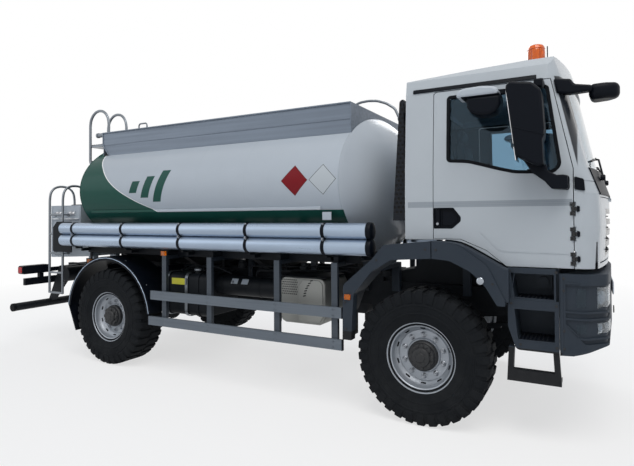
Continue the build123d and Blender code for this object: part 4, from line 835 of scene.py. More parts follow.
def make_rim():
    profile = [(-168, 301), (-166, 293), (-158, 289), (-150, 281), (-146, 272), (-128, 266), (-116, 262),
               (-96, 257), (-84, 246), (-70, 232), (-66, 226), (-62, 222), (-56, 216), (-54, 150), (-66, 140),
               (-66, 128), (-40, 128), (-40, 146), (-30, 222), (-44, 240), (-60, 262), (60, 262), (128, 268),
               (150, 288), (166, 301), (170, 301), (156, 272), (120, 258), (-90, 262), (-128, 272), (-152, 292),
               (-160, 301)]
    rim = lathe(profile, HUB, AXLE_WAY, steps=96)
    step = lathe([(-150, 276), (-156, 270), (-150, 262), (-128, 262), (-120, 268)], HUB, AXLE_WAY, steps=96)
    return joined("rim_silver_parts", [rim, step])


def make_hand_hole_shade():
    """Dark plates at the hand holes between the rim and the disc: painted shade where the holes show the dark
    inside of the wheel.
    """
    corners = [(x, WHEEL_Z + radius) for x, radius in ((-20, 231), (20, 231), (26, 243), (-26, 243))]
    return ring_of(side_plate(corners, WHEEL_Y - 82, WHEEL_Y - 68, 3, 1), 10, HUB, "Y")


def make_nuts():
    radius = sizes().nut_radius * 1000
    profile = [(0, radius * 1.5), (4, radius * 1.45), (9, radius), (26, radius), (28, radius * 0.85),
               (28, radius * 0.6), (34, radius * 0.55), (38, radius * 0.5)]
    nut = turned(profile, HUB + Vector((0, -0.054, 0.178)), OUT, steps=12, angle=25)
    return ring_of(nut, 10, HUB, "Y")


def make_hub():
    """Planetary hub with a scalloped cap."""
    drum = turned([(40, 131), (96, 131), (104, 126), (110, 116), (128, 114), (136, 108), (140, 96)], HUB, OUT,
                  steps=72)
    lobe = lathe([(108, ON_AXIS), (108, 26), (142, 25), (150, 19), (152, ON_AXIS)],
                 HUB + Vector((0, 0, 0.088)), OUT, steps=20)
    lobes = ring_of(lobe, 8, HUB, "Y")
    cap = turned([(130, 84), (156, 82), (166, 74), (170, 60), (170, 40), (175, 36)], HUB, OUT)
    screws = ring_of(bolt(HUB + Vector((0, -0.168, 0.052)), OUT, 7, 6), 8, HUB, "Y")
    plug = bolt(HUB + Vector((0.0, -0.172, 0)), OUT, 17, 4)
    return joined("hub_parts", [drum, lobes, cap, screws, plug])


class TANKER_OT_wheels(bpy.types.Operator):
    """Model the tyres, rims, nuts and hubs and put them at the four wheels"""

    bl_idname = "tanker.wheels"
    bl_label = "Wheels"

    def execute(self, context):
        parts = (("tyre", make_tyre(), "rubber", "tyre_"), ("rim", make_rim(), "rim", "wheel_"),
                 # The hand-hole plates are dark sheets of painted shade.
                 ("hand_hole_shade", make_hand_hole_shade(), "seal", None), ("nuts", make_nuts(), "nut", None),
                 ("hub", make_hub(), "hub", None))
        for label, first, finish, node in parts:
            for spot, x, side in WHEELS:
                matrix = shift(x)
                if side > 0:
                    matrix = matrix @ about(at(0, 0, WHEEL_Z), "Z", 180)
                piece = moved(first, f"{label}_{spot}_detail", matrix)
                place(piece, "wheel_" + spot, finish, *([node + spot] if node else []))
            bpy.data.objects.remove(first)
        return {"FINISHED"}


# ------------------------------------------------------------ tank
TANK_Z = 2130
TANK_HALF_Y = 1.208             # half sizes of the barrel's ellipse, in metres
TANK_HALF_Z = 0.745
TANK_MIDDLE_TWICE = -5205       # sum of the two ends' places, about which the barrel is mirrored
TANK_SIDES = 160


def weld_bead(x):
    """Weld bead round the barrel."""
    deselect()
    bpy.ops.mesh.primitive_torus_add(
        location=at(x, 0, TANK_Z), rotation=(0, math.pi / 2, 0), major_segments=TANK_SIDES, minor_segments=6,
        major_radius=1.0, minor_radius=sizes().weld_height)
    ring = bpy.context.object
    ring.scale = (TANK_HALF_Z, TANK_HALF_Y, 1)
    return tidy_mesh(settle(ring), 60)


def make_shell():
    """Barrel of elliptical section with two dished ends, extruded ring by ring."""
    rings = [(-4750, 0.02), (-4749, 0.10), (-4741, 0.26), (-4720, 0.45), (-4684, 0.61), (-4632, 0.745),
             (-4570, 0.852), (-4510, 0.925), (-4475, 0.967), (-4458, 0.99), (-4446, 1.0)]
    rings += [(-2600, 1.0)] + [(TANK_MIDDLE_TWICE - x, size) for x, size in reversed(rings)]
    deselect()
    x, size = rings[0]
    bpy.ops.mesh.primitive_circle_add(vertices=TANK_SIDES, radius=1, fill_type="NGON", location=at(x, 0, TANK_Z),
                                      rotation=(0, math.pi / 2, 0))
    shell = bpy.context.object
    shell.scale = (TANK_HALF_Z * size, TANK_HALF_Y * size, 1)
    settle(shell)
    bpy.ops.object.mode_set(mode="EDIT")
    bpy.ops.mesh.select_all(action="SELECT")
    for next_x, next_size in rings[1:]:
        extrude((at(next_x, 0, 0).x - at(x, 0, 0).x, 0, 0))
        grow = next_size / size
        bpy.ops.transform.resize(value=(1, grow, grow), center_override=at(next_x, 0, TANK_Z))
        x, size = next_x, next_size
    leave_edit()
    return tidy_mesh(shell, 24)


class TANKER_OT_tank(bpy.types.Operator):
    """Model the barrel with its dished ends, ledges and weld beads"""

    bl_idname = "tanker.tank"
    bl_label = "Tank"

    def execute(self, context):
        ledge = both_sides(bar(-4300, -986, -1150, -1090, 1850, 1884, 6, 3))
        fit("tank_shell_detail", [make_shell(), ledge], "tank", "chassis", "tank")
        fit("dish_weld_beads", [weld_bead(x) for x in (-762, -4440)], "tank")
        fit_both("data_plate", [bar(-965, -869, -1146, -1140, 1752, 1829)], "white")
        return {"FINISHED"}


CAB_SIDE = ((1.376, 1.118), (1.70, 1.120), (1.95, 1.120), (2.19, 1.112), (2.89, 1.062))
CAB_WIDEST = 1.120


def cab_side_at(z):
    """Half width of the cab's side at a height, in metres."""
    for (z0, y0), (z1, y1) in zip(CAB_SIDE, CAB_SIDE[1:]):
        if z <= z1:
            return y0 + (y1 - y0) * (z - z0) / (z1 - z0)
    return CAB_SIDE[-1][1]


def lean_on_cab(piece):
    """Move a piece modelled at the cab's widest place in to the side's own lean."""
    for vertex in piece.data.vertices:
        inward = CAB_WIDEST - cab_side_at(vertex.co.z)
        vertex.co.y += inward if vertex.co.y < 0 else -inward
    piece.data.update()
    return piece


def surface_point(node, origin, direction, lift):
    """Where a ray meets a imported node, lifted off it along the surface's normal."""
    hit, spot, normal, _ = NODES[node].ray_cast(origin, direction)
    if not hit:
        raise ValueError("no surface of " + node + " on that line")
    return spot + normal * (lift / 1000)


# ------------------------------------------------------------ on and round the tank
CLAMPS = (-909, -1797, -2712, -3625, -4533)
TUBE_Y = -1195
TUBE_HEIGHTS = (1500, 1650)
TUBE_REAR = -4803
RAIL_FACE = 382
RAIL_TOP = 1100


class TANKER_OT_hose_tubes(bpy.types.Operator):
    """Model the hose tubes' clamps, lugs, arms, tails and end caps"""

    bl_idname = "tanker.hose_tubes"
    bl_label = "Hose tubes"

    def execute(self, context):
        half = sizes().clamp_width * 500
        rim = [(-half, 75.4), (-half, 79), (-half + 3, 81.5), (-half + 6, 79.5)]
        band = rim + [(-along, radius) for along, radius in reversed(rim)]
        bands, lugs = [], []
        for x in CLAMPS:
            for z in TUBE_HEIGHTS:
                bands.append(lathe(band, at(x, TUBE_Y, z), AHEAD, steps=40))
                lugs.append(bolt(at(x, TUBE_Y - 52, z + 60), Vector((0, -0.6, 0.8)), 8, 14))
            lugs.append(bar(x - 9, x + 9, -1262, -1222, 1563, 1587, 3))
            lugs.append(bolt(at(x, -1262, 1575), OUT, 8, 8))
        fit_both("tube_bands", bands, "black")
        fit_both("tube_lugs", lugs, "nut")
        arms = []
        for x in CLAMPS:
            for y0, y1, z0, z1 in ((-1120, -1108, 1395, 1725), (-1110, -460, 1359, 1395),
                                   (TUBE_Y, -1108, 1395, 1424), (-470, -RAIL_FACE, RAIL_TOP + 60, 1380)):
                arms.append(bar(x - 16, x + 16, y0, y1, z0, z1))
        arms.append(bar(-4549, -4517, -973, -960, 1197, 1365))
        holder = [(-5130, 1345), (-5095, 1332), (-4740, 1332), (-4740, 1740), (-5050, 1740), (-5130, 1665)]
        arms.append(side_plate(holder, -1119, -1104, 5, 3))
        arms.append(bar(-4900, -4870, -1106, -975, 1480, 1660, 3))
        fit_both("tube_arms", arms, "chassis", "chassis", "tube_brackets")
        tails = [lathe([(0, 62), (0, 75), (104, 75), (104, 62)], at(TUBE_REAR, TUBE_Y, z), AHEAD, steps=64)
                 for z in TUBE_HEIGHTS]
        fit_both("tube_tails", tails, "tube")
        front_cap = [(-26, 75.5), (-26, 82), (8, 82), (16, 78), (24, 60), (28, 30), (29, ON_AXIS), (0, ON_AXIS),
                     (0, 74)]
        rear_cap = [(-3, ON_AXIS), (-3, 72), (0, 77), (14, 77), (14, 75.4)]
        caps = []
        for z in TUBE_HEIGHTS:
            caps.append(lathe(front_cap, at(-446, TUBE_Y, z), AHEAD, steps=40))
            caps.append(lathe(rear_cap, at(TUBE_REAR, TUBE_Y, z), AHEAD))
        fit_both("tube_caps", caps, "black")
        return {"FINISHED"}


def coaming_line(z, radius):
    """Round bead along the coaming's side, square to its wall."""
    y = -931 - radius / 2
    return rod([(-757, y, z), (-4352, y, z)], radius)


class TANKER_OT_coaming(bpy.types.Operator):
    """Model the coaming's beads and corner posts, the step's ribs, the strap and the manhole lids"""

    bl_idname = "tanker.coaming"
    bl_label = "Coaming"

    def execute(self, context):
        beads = [coaming_line(2906, 9), coaming_line(2745, 3)]
        beads.append(rod([(-4238, -934, 2612), (-4349, -934, 2745), (-4351, -934, 2905)], 7))
        fit_both("coaming_beads", beads, "coaming")
        corners = [rod([(-756, -931, 2700), (-756, -931, 2904)], 8), bar(-4362, -4352, -930, 930, 2880, 2914, 3)]
        fit_both("coaming_corners", corners, "coaming")
        step = [bar(-4700, -4380, -866, -575, 2776, 2782)]
        for x in range(-4690, -4401, 36):
            step.append(rod([(x, -860, 2784), (x, -580, 2784)], 4))
        fit("step_plate_ribs", step, "steel")
        strap = side_plate([(-4335, 2612), (-4300, 2600), (-4240, 2618), (-4275, 2640)], -935, -905, 3)
        fit_both("dish_strap", [strap], "chassis")
        dish = [(22.2, ON_AXIS), (22.2, 262), (26, 264), (30, 258), (30, 220), (40, 190), (44, 120), (62, 60),
                (64, ON_AXIS)]
        collars = []
        for x, body in ((-1500, "front_lid"), (-3000, "rear_lid")):
            lid = lathe(dish, at(x, 0, 2985.3), UP, steps=64)
            bolts = ring_of(bolt(at(x, 238, 3012), UP, 10, 8), 12, at(x, 0, 3012), "Z")
            fit("manhole_lid_dish", [lid], "white", body)
            fit("lid_bolts", [bolts], "nut", body)
            collar = [(0, 250.5), (0, 258), (10, 266), (22, 266), (22, 250.5)]
            collars.append(lathe(collar, at(x, 0, 2952), UP, steps=64))
        fit("manhole_collars", collars, "steel")
        return {"FINISHED"}


SIDE_RAIL = ((-1050, 757), (-1050, 2046), (-1036, 2140), (-994, 2200), (-920, 2232), (-858, 2236), (-796, 2232),
             (-722, 2200), (-680, 2140), (-666, 2046), (-666, 1962))            # (y, z)
REAR_HOOP = ((-4500, 2515), (-4650, 2515), (-4678, 2527), (-4690, 2555), (-4690, 3052), (-4676, 3122),
             (-4636, 3181), (-4577, 3221), (-4507, 3235), (-4433, 3221), (-4374, 3181), (-4334, 3122),
             (-4320, 3052), (-4320, 2887))                                      # (x, z)
VENT_PIPE = ((-1040, 2876), (-1036, 2960), (-1014, 3012), (-929, 3045), (-830, 3052), (-730, 3042), (-620, 3002),
             (-526, 2936), (-478, 2830))
DECK_HANDLE = ((-3826, 2886), (-3826, 2985), (-3808, 3003), (-3699, 3003), (-3681, 2985), (-3681, 2886))


def side_line(y, spots):
    """Points at one y from (x, z) spots."""
    return [(x, y, z) for x, z in spots]


class TANKER_OT_ladders(bpy.types.Operator):
    """Model the round hoops and ladders at the rear and the pipes on the tank"""

    bl_idname = "tanker.ladders"
    bl_label = "Ladders and pipes"

    def execute(self, context):
        parts = []
        for x in (-5300, -5015):
            parts.append(rod([(x, y, z) for y, z in SIDE_RAIL], 16, 30, 4))
            for z in (1305, 1835):
                parts.append(rod([(x, -1050, z), (x, -962, z)], 12))
                parts.append(turned([(0, 30), (6, 30), (7, 26)], at(x, -961, z), OUT, steps=24))
        for z in (765, 1041, 1305, 1570, 1835):
            parts.append(rod([(-5300, -1050, z), (-5015, -1050, z)], 14, 0, 4))
        for y in (-866, -575):
            parts.append(rod(side_line(y, REAR_HOOP), 18, 24, 4))
        parts.append(bar(-4700, -4380, -866, -575, 2750, 2775, 3))
        parts.append(rod([(-4690, -866, 2560), (-4690, -575, 2560)], 13))
        fit("ladder_detail", parts, "steel", "chassis", "ladder")
        pipes = [rod(side_line(-300, VENT_PIPE), 14, 24, 4)]
        pipes += [rod(side_line(y, DECK_HANDLE), 10, 14, 3) for y in (-800, 800)]
        pipes.append(turned([(0, 22), (30, 24), (34, 20)], at(-478, -300, 2836), Vector((0.3, 0, -0.95)),
                            steps=20))
        pipes.append(turned([(-6, 34), (20, 34), (20, 29), (180, 29), (182, 26)], at(-4560, -845, 2905), AHEAD,
                            steps=28))
        fit("vent_fittings", pipes, "steel", "chassis", "vent_pipes")
        return {"FINISHED"}


# ------------------------------------------------------------ cab
class TANKER_OT_doors(bpy.types.Operator):
    """Model the window rubbers, handles, locks and hinge covers of the doors"""

    bl_idname = "tanker.doors"
    bl_label = "Doors"

    def execute(self, context):
        window = [(214, 2240), (394, 2225), (644, 2149), (760, 2119), (1040, 2106), (1099, 2166), (1010, 2816),
                  (214, 2816)]
        rubber = lean_on_cab(side_frame(window, 27, -1124, -1096, 34, 3))
        fit_doors("window_rubber", [rubber], "seal")
        rim = [(104, 1676), (263, 1676), (333, 1737), (333, 1775), (273, 1853), (104, 1853)]
        back = [(108, 1681), (260, 1681), (327, 1740), (327, 1772), (270, 1848), (108, 1848)]
        wedge = [(178, 1700), (252, 1700), (306, 1748), (306, 1766), (256, 1828), (178, 1828)]
        handle = [side_frame(rim, 9, -1123, -1112, 10, 2), side_pad(back, -1096, -1091, 10, 1),
                  side_pad(box_corners(160, 170, 1700, 1830), -1104, -1094, 2, 1),
                  side_pad(box_corners(116, 156, 1690, 1838), -1118, -1100, 12, 5),
                  side_pad(wedge, -1101, -1095, 8, 3)]
        fit_doors("handle_black", handle, "black")
        fit_doors("door_lock", [turned([(0, 11), (3, 11), (4, 8)], at(136, -1118, 1716), OUT, steps=20)], "nut")
        covers = [side_pad([(1196, z - 26), (1216, z - 18), (1216, z + 18), (1196, z + 26)], -1128, -1112, 5, 3)
                  for z in (1450, 1640, 1830)]
        fit_both("hinge_covers", covers, "black", "cab")
        return {"FINISHED"}


def make_mirror_housing():
    """Main mirror with rounded edges, its arm and foot, and the kerb mirror under its cover."""
    head = side_plate([(736, 2735), (741, 2768), (772, 2786), (925, 2762), (982, 2700), (1000, 2420), (996, 2360),
                       (985, 2337), (993, 2150), (940, 2150), (801, 2228), (773, 2454), (750, 2650)],
                      -1430, -1212, 30, 5)
    seam = side_plate([(775, 2440), (776, 2450), (1000, 2372), (1000, 2362)], -1433, -1420, 2, 1)
    elbow = side_plate([(815, 2245), (985, 2215), (1008, 2120), (1068, 2086), (1112, 2086), (1140, 2080),
                        (1146, 1984), (1130, 1976), (1032, 1984), (986, 2040), (900, 2110)], -1256, -1150, 20, 4)
    foot = side_pad([(984, 2038), (1030, 2066), (1112, 2090), (1150, 2084), (1150, 1974), (1030, 1984)],
                    -1160, -1121, 18, 8)
    top = [plan_plate([(930, -1240), (985, -1240), (985, -1066), (930, -1066)], 2800, 2828, 8, 3),
           plan_plate([(920, -1300), (985, -1300), (985, -1185), (930, -1185)], 2752, 2815, 12, 3)]
    kerb = side_plate([(438, 2716), (440, 2640), (468, 2592), (520, 2568), (610, 2560), (668, 2588), (692, 2640),
                       (694, 2716)], -1374, -1190, 26, 5)
    lip = plan_plate([(400, -1378), (690, -1378), (690, -1182), (400, -1182)], 2712, 2722, 4, 2)
    link = side_plate([(640, 2736), (800, 2740), (800, 2778), (640, 2782)], -1242, -1208, 8, 3)
    return [head, seam, elbow, foot] + top + [kerb, lip, link]


MIRROR_TOP = 2.760              # height where the leaning panes meet the head's back edge, in metres
MIRROR_LEAN = 0.118             # lean of the panes, as a share of the height below that
MIRROR_GAP = 0.003              # metres


class TANKER_OT_mirrors(bpy.types.Operator):
    """Model the mirrors on the doors, their glass and the kerb mirrors' covers"""

    bl_idname = "tanker.mirrors"
    bl_label = "Mirrors"

    def execute(self, context):
        fit_doors("mirror_black", make_mirror_housing(), "black", "mirrors")
        cover = side_plate([(360, 2716), (368, 2764), (410, 2786), (545, 2792), (640, 2782), (676, 2760),
                            (680, 2716)], -1386, -1180, 24, 5)
        fit_doors("kerb_cover", [cover], "white")
        cap = side_pad([(1182, 1978), (1182, 2078), (1246, 2056), (1254, 1966)], -1128, -1106, 10, 4)
        fit_both("mirror_foot_caps", [cap], "black", "cab")
        panes = joined("mirror_panes", [
            front_plate([(-1408, 2320), (-1222, 2310), (-1222, 2750), (-1408, 2750)], 729, 736, 3),
            front_plate([(-1408, 2195), (-1222, 2195), (-1222, 2290), (-1408, 2298)], 729, 736, 3)])
        for vertex in panes.data.vertices:
            vertex.co.x += (MIRROR_TOP - vertex.co.z) * MIRROR_LEAN + MIRROR_GAP
        fit_doors("mirror_panes", [panes], "chrome")
        return {"FINISHED"}


BEACON = at(880, -500, 3064)


class TANKER_OT_cab_front(bpy.types.Operator):
    """Model the wipers, grille slats, beacon, aerial, roof rails and front view mirror"""

    bl_idname = "tanker.cab_front"
    bl_label = "Cab front and roof"

    def execute(self, context):
        blades = []
        for y0, y1 in ((-760, -120), (60, 700)):
            low = surface_point("windscreen", at(2200, y0, 2215), BACK, 14)
            high = surface_point("windscreen", at(2200, y1, 2300), BACK, 14)
            middle = surface_point("windscreen", at(2200, (y0 + y1) / 2, 2257), BACK, 16)
            root = surface_point("front_panel", at(2200, y0 + 60, 2080), BACK, 24)
            low_mm, middle_mm, high_mm, root_mm = [in_millimetres(point) for point in (low, middle, high, root)]
            elbow_mm = (middle_mm[0] + 26, *middle_mm[1:])
            blades.append(rod([low_mm, middle_mm, high_mm], 8))
            blades.append(rod([root_mm, elbow_mm, middle_mm], 8, 10))
            blades.append(turned([(-20, 24), (10, 24), (16, 16)], root, AHEAD, steps=24))
        fit("wipers", blades, "black", "cab")
        slats = [front_plate(box_corners(-690, 690, z, z + 8), 1392, 1412) for z in (1499, 1589, 1679, 1769)]
        slats += [bar(1380, 1392, y - 3, y + 3, 1482, 1794, 1, 1) for y in range(-660, 661, 60)]
        fit("grille_slats", slats, "black", "service_flap")
        dome = [lathe([(66, 73), (180, 73), (222, 70), (240, 58), (250, 36), (254, ON_AXIS), (66, ON_AXIS)],
                      BEACON, UP)]
        dome += [lathe([(z, 73), (z + 3, 75.5), (z + 6, 73)], BEACON, UP) for z in (84, 204)]
        fit("beacon_dome", dome, "beacon", "cab")
        parts = [side_plate([(1066, 2735), (1160, 2722), (1310, 2728), (1310, 2772), (1190, 2795), (1165, 2838),
                             (1046, 2856)], -1075, -985, 16, 4)]
        parts.append(rod([(940, 0, 3100), (940, 0, 3444)], 5))
        parts.append(turned([(60, 60), (150, 60), (150, 30), (200, 30)], BEACON, UP, steps=32))
        for side in (-1, 1):
            rail = side_pad([(-84, 2869), (-84, 2905), (923, 2905), (923, 2869)], side * 1056, side * 1073, 6, 3)
            for vertex in rail.data.vertices:
                vertex.co.y -= side * max(0.0, vertex.co.z - 2.869) * 0.35
            parts.append(rail)
        fit("roof_black_fittings", parts, "black", "cab", "roof_fittings")
        foot = turned([(-6, 100), (6, 100), (24, 92), (48, 84), (66, 80), (70, 76)], BEACON, UP)
        base = turned([(0, 34), (20, 26), (60, 12), (76, 9)], at(940, 0, 3060), UP, steps=24)
        head = plan_plate([(1284, -1030), (1400, -1042), (1492, -1000), (1498, -920), (1440, -850), (1300, -810)],
                          2672, 2792, 48, 6)
        fit("roof_black_parts", [foot, base, head], "black", "cab")
        return {"FINISHED"}


TAIL_LENSES = (("red", -1078, -962), ("amber", -954, -868), ("lens", -860, -770), ("red", -762, -690))


class TANKER_OT_lamps(bpy.types.Operator):
    """Model the head lamps, fog lamps and the tail lamps' lenses"""

    bl_idname = "tanker.lamps"
    bl_label = "Lamps"

    def execute(self, context):
        backs, lenses, bowls = [], [], []
        for y_in, z0, z1 in ((-765, 1080, 1236), (-805, 885, 968)):
            back = [(1250, -1055), (1290, -1055), (1340, -950), (1356, y_in), (1250, y_in)]
            front_lens = [(1290, -1055), (1325, -1055), (1392, -950), (1414, y_in), (1406, y_in), (1385, -944),
                          (1321, -1046), (1290, -1046)]
            side_lens = [(1184, -1139), (1206, -1138), (1242, -1125), (1300, -1074), (1324, -1050), (1318, -1044),
                         (1296, -1067), (1238, -1117), (1204, -1130), (1184, -1131)]
            backs.append(plan_plate(back, z0, z1, 3))
            lenses.append(plan_plate(front_lens, z0, z1))
            lenses.append(plan_plate(side_lens, z0 + 9, z1 - 9))
            size = (z1 - z0) * 0.34
            bowl = [(0, size * 0.28), (size * 0.45, size * 0.9), (size * 0.5, size), (size * 0.3, size),
                    (-4, size * 0.3)]
            for x, y, way in ((1366, -860, (0.97, -0.2, 0)), (1322, -988, (0.83, -0.55, 0))):
                bowls.append(lathe([(0, ON_AXIS)] + bowl + [(-4, ON_AXIS)], at(x, y, (z0 + z1) / 2),
                                   Vector(way).normalized(), steps=32))
        fit_both("lamp_backs", backs, "trim")
        fit_both("lamp_lenses", lenses, "lens", "chassis", "headlights")
        fit_both("lamp_bowls", bowls, "bulb")
        for key, y0, y1 in TAIL_LENSES:
            lens = front_plate(box_corners(y0, y1, 992, 1088), -5983, -5976, 3)
            fit_both(f"tail_lens_{key}{-y1}", [lens], key)
        fit_both("tail_end_lens", [side_pad(box_corners(-5970, -5885, 996, 1084), -1091, -1084, 12, 3)], "red")
        clear = lathe([(0, ON_AXIS), (0, 28), (13, 28), (17, 22), (19, ON_AXIS)], at(508, -1238, 1261), OUT,
                      steps=32)
        fit_both("fender_lens", [clear], "bulb")
        return {"FINISHED"}


# ------------------------------------------------------------ bumper, steps and fenders
PANEL_BOLTS = (     # y, radius and height, then the (x, z) places
    (-1150, 9, 6, ((1098, 1302), (1098, 1210), (1098, 905), (1098, 770))),
    (-1150, 8, 5, ((716, 1345), (1050, 1345), (1050, 1088), (1050, 770), (790, 770), (726, 1088))),
    (-1237, 8, 5, ((150, 1500), (600, 1240), (-380, 1395), (-680, 760), (-690, 1000), (60, 1500))),
)
TREADS = ((764, 1026, -1144, -906, 1131), (782, 1026, -1144, -888, 811), (700, 1064, -1132, -966, 500))
KNOB_PITCH_X = 30
KNOB_PITCH_Y = 32


class TANKER_OT_bumper(bpy.types.Operator):
    """Model the bumper's bolts, ribs, blank plate and tow rings, the fender's crown and the steps' treads"""

    bl_idname = "tanker.bumper"
    bl_label = "Bumper and steps"

    def execute(self, context):
        bolts = [bolt(at(x, y, z), OUT, radius, height)
                 for y, radius, height, places in PANEL_BOLTS for x, z in places]
        fit_both("panel_bolts", bolts, "hub")
        crown = side_plate([(186, 1560), (196, 1571), (262, 1567), (332, 1555), (428, 1514), (562, 1440),
                            (690, 1367), (718, 1364), (718, 1100), (680, 1100), (664, 1160), (540, 1380),
                            (345, 1520)], -1226, -1128, 9, 3)
        fit_both("crown", [crown], "slate")
        ribs = [plan_plate([(1074, -1151), (1080, -1156), (1092, -1156), (1098, -1151)], 740, 1330, 2, 1),
                side_pad([(1110, 1262), (1205, 1262), (1214, 1272), (1110, 1276)], -1156, -1149, 3, 2),
                side_pad([(1118, 958), (1118, 946), (1196, 868), (1204, 874)], -1156, -1149, 3, 2)]
        fit_both("bumper_ribs", ribs, "slate")
        back = front_plate(box_corners(-262, 262, 1085, 1200), 1449, 1458, 4)
        field = front_plate(box_corners(-252, 252, 1093, 1192), 1457, 1460)
        fit("blank_number_plate", [back, field], "white")
        treads = []
        for x0, x1, y0, y1, z in TREADS:
            treads.append(bar(x0, x1, y0, y1, z - 1, z + 4))
            knob = turned([(0, 9), (4, 7)], at(x0 + 18, y0 + 16, z + 3.5), UP, steps=8)
            along = row_of(knob, int((x1 - x0 - 20) / KNOB_PITCH_X), (KNOB_PITCH_X, 0, 0))
            treads.append(row_of(along, int((y1 - y0 - 16) / KNOB_PITCH_Y), (0, KNOB_PITCH_Y, 0)))
        fit_both("step_treads", treads, "black")
        edges = [bar(752, 1036, -1152, -1138, 1118, 1131, 3), bar(772, 1036, -1152, -1138, 799, 811, 3),
                 side_frame([(718, 1134), (750, 1334), (1040, 1334), (1040, 1128)], 7, -1153, -1147, 10, 2)]
        fit_both("step_edges", edges, "slate")
        hooks = [lathe([(0, 22), (0, 32), (7, 32), (8, 29), (8, 22)], at(1448, y, 975), AHEAD, steps=32)
                 for y in (-360, 360)]
        fit("tow_rings", hooks, "hub")
        return {"FINISHED"}


# ------------------------------------------------------------ under the tank and at the rear
def strap_round(x, y0, y1, z0, z1, grow, width):
    """Band round a box-shaped tank, in the Y-Z plane."""
    corners = box_corners(y0 - grow, y1 + grow, z0 - grow, z1 + grow)
    piece = rounded_face([at(x, y, z) for y, z in corners], 76, 6)
    return hollowed(piece, grow - 0.5, (width / 1000, 0, 0))


AIR_TANK_Y = -800
AIR_TANK_Z = 1007
SILENCER = ((-1541, 760), (-1541, 1120), (-1515, 1158), (-1480, 1168), (-1080, 1168), (-1040, 1150),
            (-1020, 1110), (-1020, 780), (-1040, 724), (-1085, 702), (-1480, 702), (-1522, 722))
POSTS = (-815, -1455, -2320, -2980)


class TANKER_OT_side_tanks(bpy.types.Operator):
    """Model the straps, caps, labels and pipes of the fuel tank and air cylinder, the silencer and the sub-frame"""

    bl_idname = "tanker.side_tanks"
    bl_label = "Fuel tank, air cylinder and silencer"

    def execute(self, context):
        steel = []
        for x in (-3066, -2775):
            steel += [strap_round(x - 20, -1058, -452, 653, 1148, 5, 40), bolt(at(x, -1062, 1080), OUT, 10, 16),
                      rod([(x, -1070, 1080), (x, -1070, 1015)], 6)]
        filler = [(0, 50), (6, 54), (24, 54), (30, 46), (34, 20)]
        steel.append(turned(filler, at(-2700, -930, 1168), UP, steps=32))
        steel.append(bolt(at(-2230, -905, 1062), Vector((0, -0.87, 0.5)), 12, 14))
        fit("tank_straps", steel, "steel")
        end_rim = [(-1034, 690), (-1034, 1112), (-1010, 1130), (-500, 1130), (-476, 1112), (-476, 690), (-500, 668),
                   (-1010, 668)]
        black = [front_plate(end_rim, x - 6, x + 6, 5) for x in (-3118, -2488)]
        rear_dish = [(-14, 60), (-8, 96), (2, 112), (10, 112)]
        front_dish = [(-along, radius) for along, radius in reversed(rear_dish)]
        for x, dish in ((-2481, rear_dish), (-1624, front_dish)):
            black.append(turned(dish, at(x, AIR_TANK_Y, AIR_TANK_Z), AHEAD))
        black.append(bar(-1600, -1556, -960, -560, 780, 1120, 6))
        for radius, points in (
                (12, [(-2860, -1040, 1180), (-2860, -900, 1215), (-2500, -850, 1215), (-2300, -820, 1140)]),
                (10, [(-1990, -780, 1118), (-1990, -780, 1190), (-1300, -760, 1210), (-900, -700, 1230)]),
                (8, [(-2100, -760, 1118), (-2100, -740, 1230), (-700, -640, 1265)])):
            black.append(rod(points, radius, 50))
        for x in (-2392, -1888):
            hoop = [(-16, 110.4), (-16, 113), (16, 113), (16, 110.4)]
            black.append(lathe(hoop, at(x, AIR_TANK_Y, AIR_TANK_Z), AHEAD))
        fit("tank_black_fittings", black, "chassis")
        fit("blank_fuel_label", [bar(-3005, -2806, -1052.5, -1050.3, 1012, 1084, 0.8)], "label")
        tags = []
        for x in (-2252, -2112):
            corners = [at(x, -908, 1042), at(x + 86, -908, 1042), at(x + 86, -874, 1094), at(x, -874, 1094)]
            tags.append(plate(corners, (0, -0.0026, 0.0018), 0.6))
        fit("blank_air_labels", tags, "white")
        panel = [(-1322, 724), (-1322, 1090), (-1268, 1150), (-1085, 1150), (-1042, 1108), (-1038, 778),
                 (-1085, 724)]
        shell = [side_plate(SILENCER, -992, -470, 16, 4), side_plate(panel, -1003, -985, 9, 3)]
        dark = []
        for index in range(7):
            x, z = -1262 + 4 * index + 1.6 * index * index, 978 + 26 * index
            slot = [(x, z), (x + 30, z + 8), (x + 28, z + 18), (x - 2, z + 10)]
            dark.append(side_plate(slot, -1007, -1002, 1.5, 1))
        dark += [bar(-1556, -1004, -1004, -480, 1170, 1180, 4), bar(-1556, -1544, -1000, -960, 700, 1170, 3)]
        fit("silencer_dark_parts", dark, "chassis")
        fit("silencer_shell", shell, "shield", "chassis", "silencer")
        rails = [bar(-4540, -640, -1010, -960, 1336, 1416, 4), bar(-3300, -640, -560, -500, 1330, 1420, 4)]
        rails += [bar(x - 25, x + 25, -1160, -960, 1342, 1410, 3) for x in POSTS]
        fit_both("sub_frame_rails", rails, "chassis")
        valve = [(0, ON_AXIS), (0, 48), (30, 52), (60, 52), (70, 40), (96, 36), (100, ON_AXIS)]
        valves = [lathe(valve, at(*spot), UP, steps=24)
                  for spot in ((-1420, -700, 1190), (-700, -760, 1060), (-520, -600, 1180), (-2350, -560, 1180))]
        fit("air_valves", valves, "cast")
        return {"FINISHED"}


def on_mudguard(angle, radius, y):
    """Point in millimetres on a ring about the rear wheel."""
    return -WHEELBASE + radius * math.cos(angle), y, WHEEL_Z + radius * math.sin(angle)


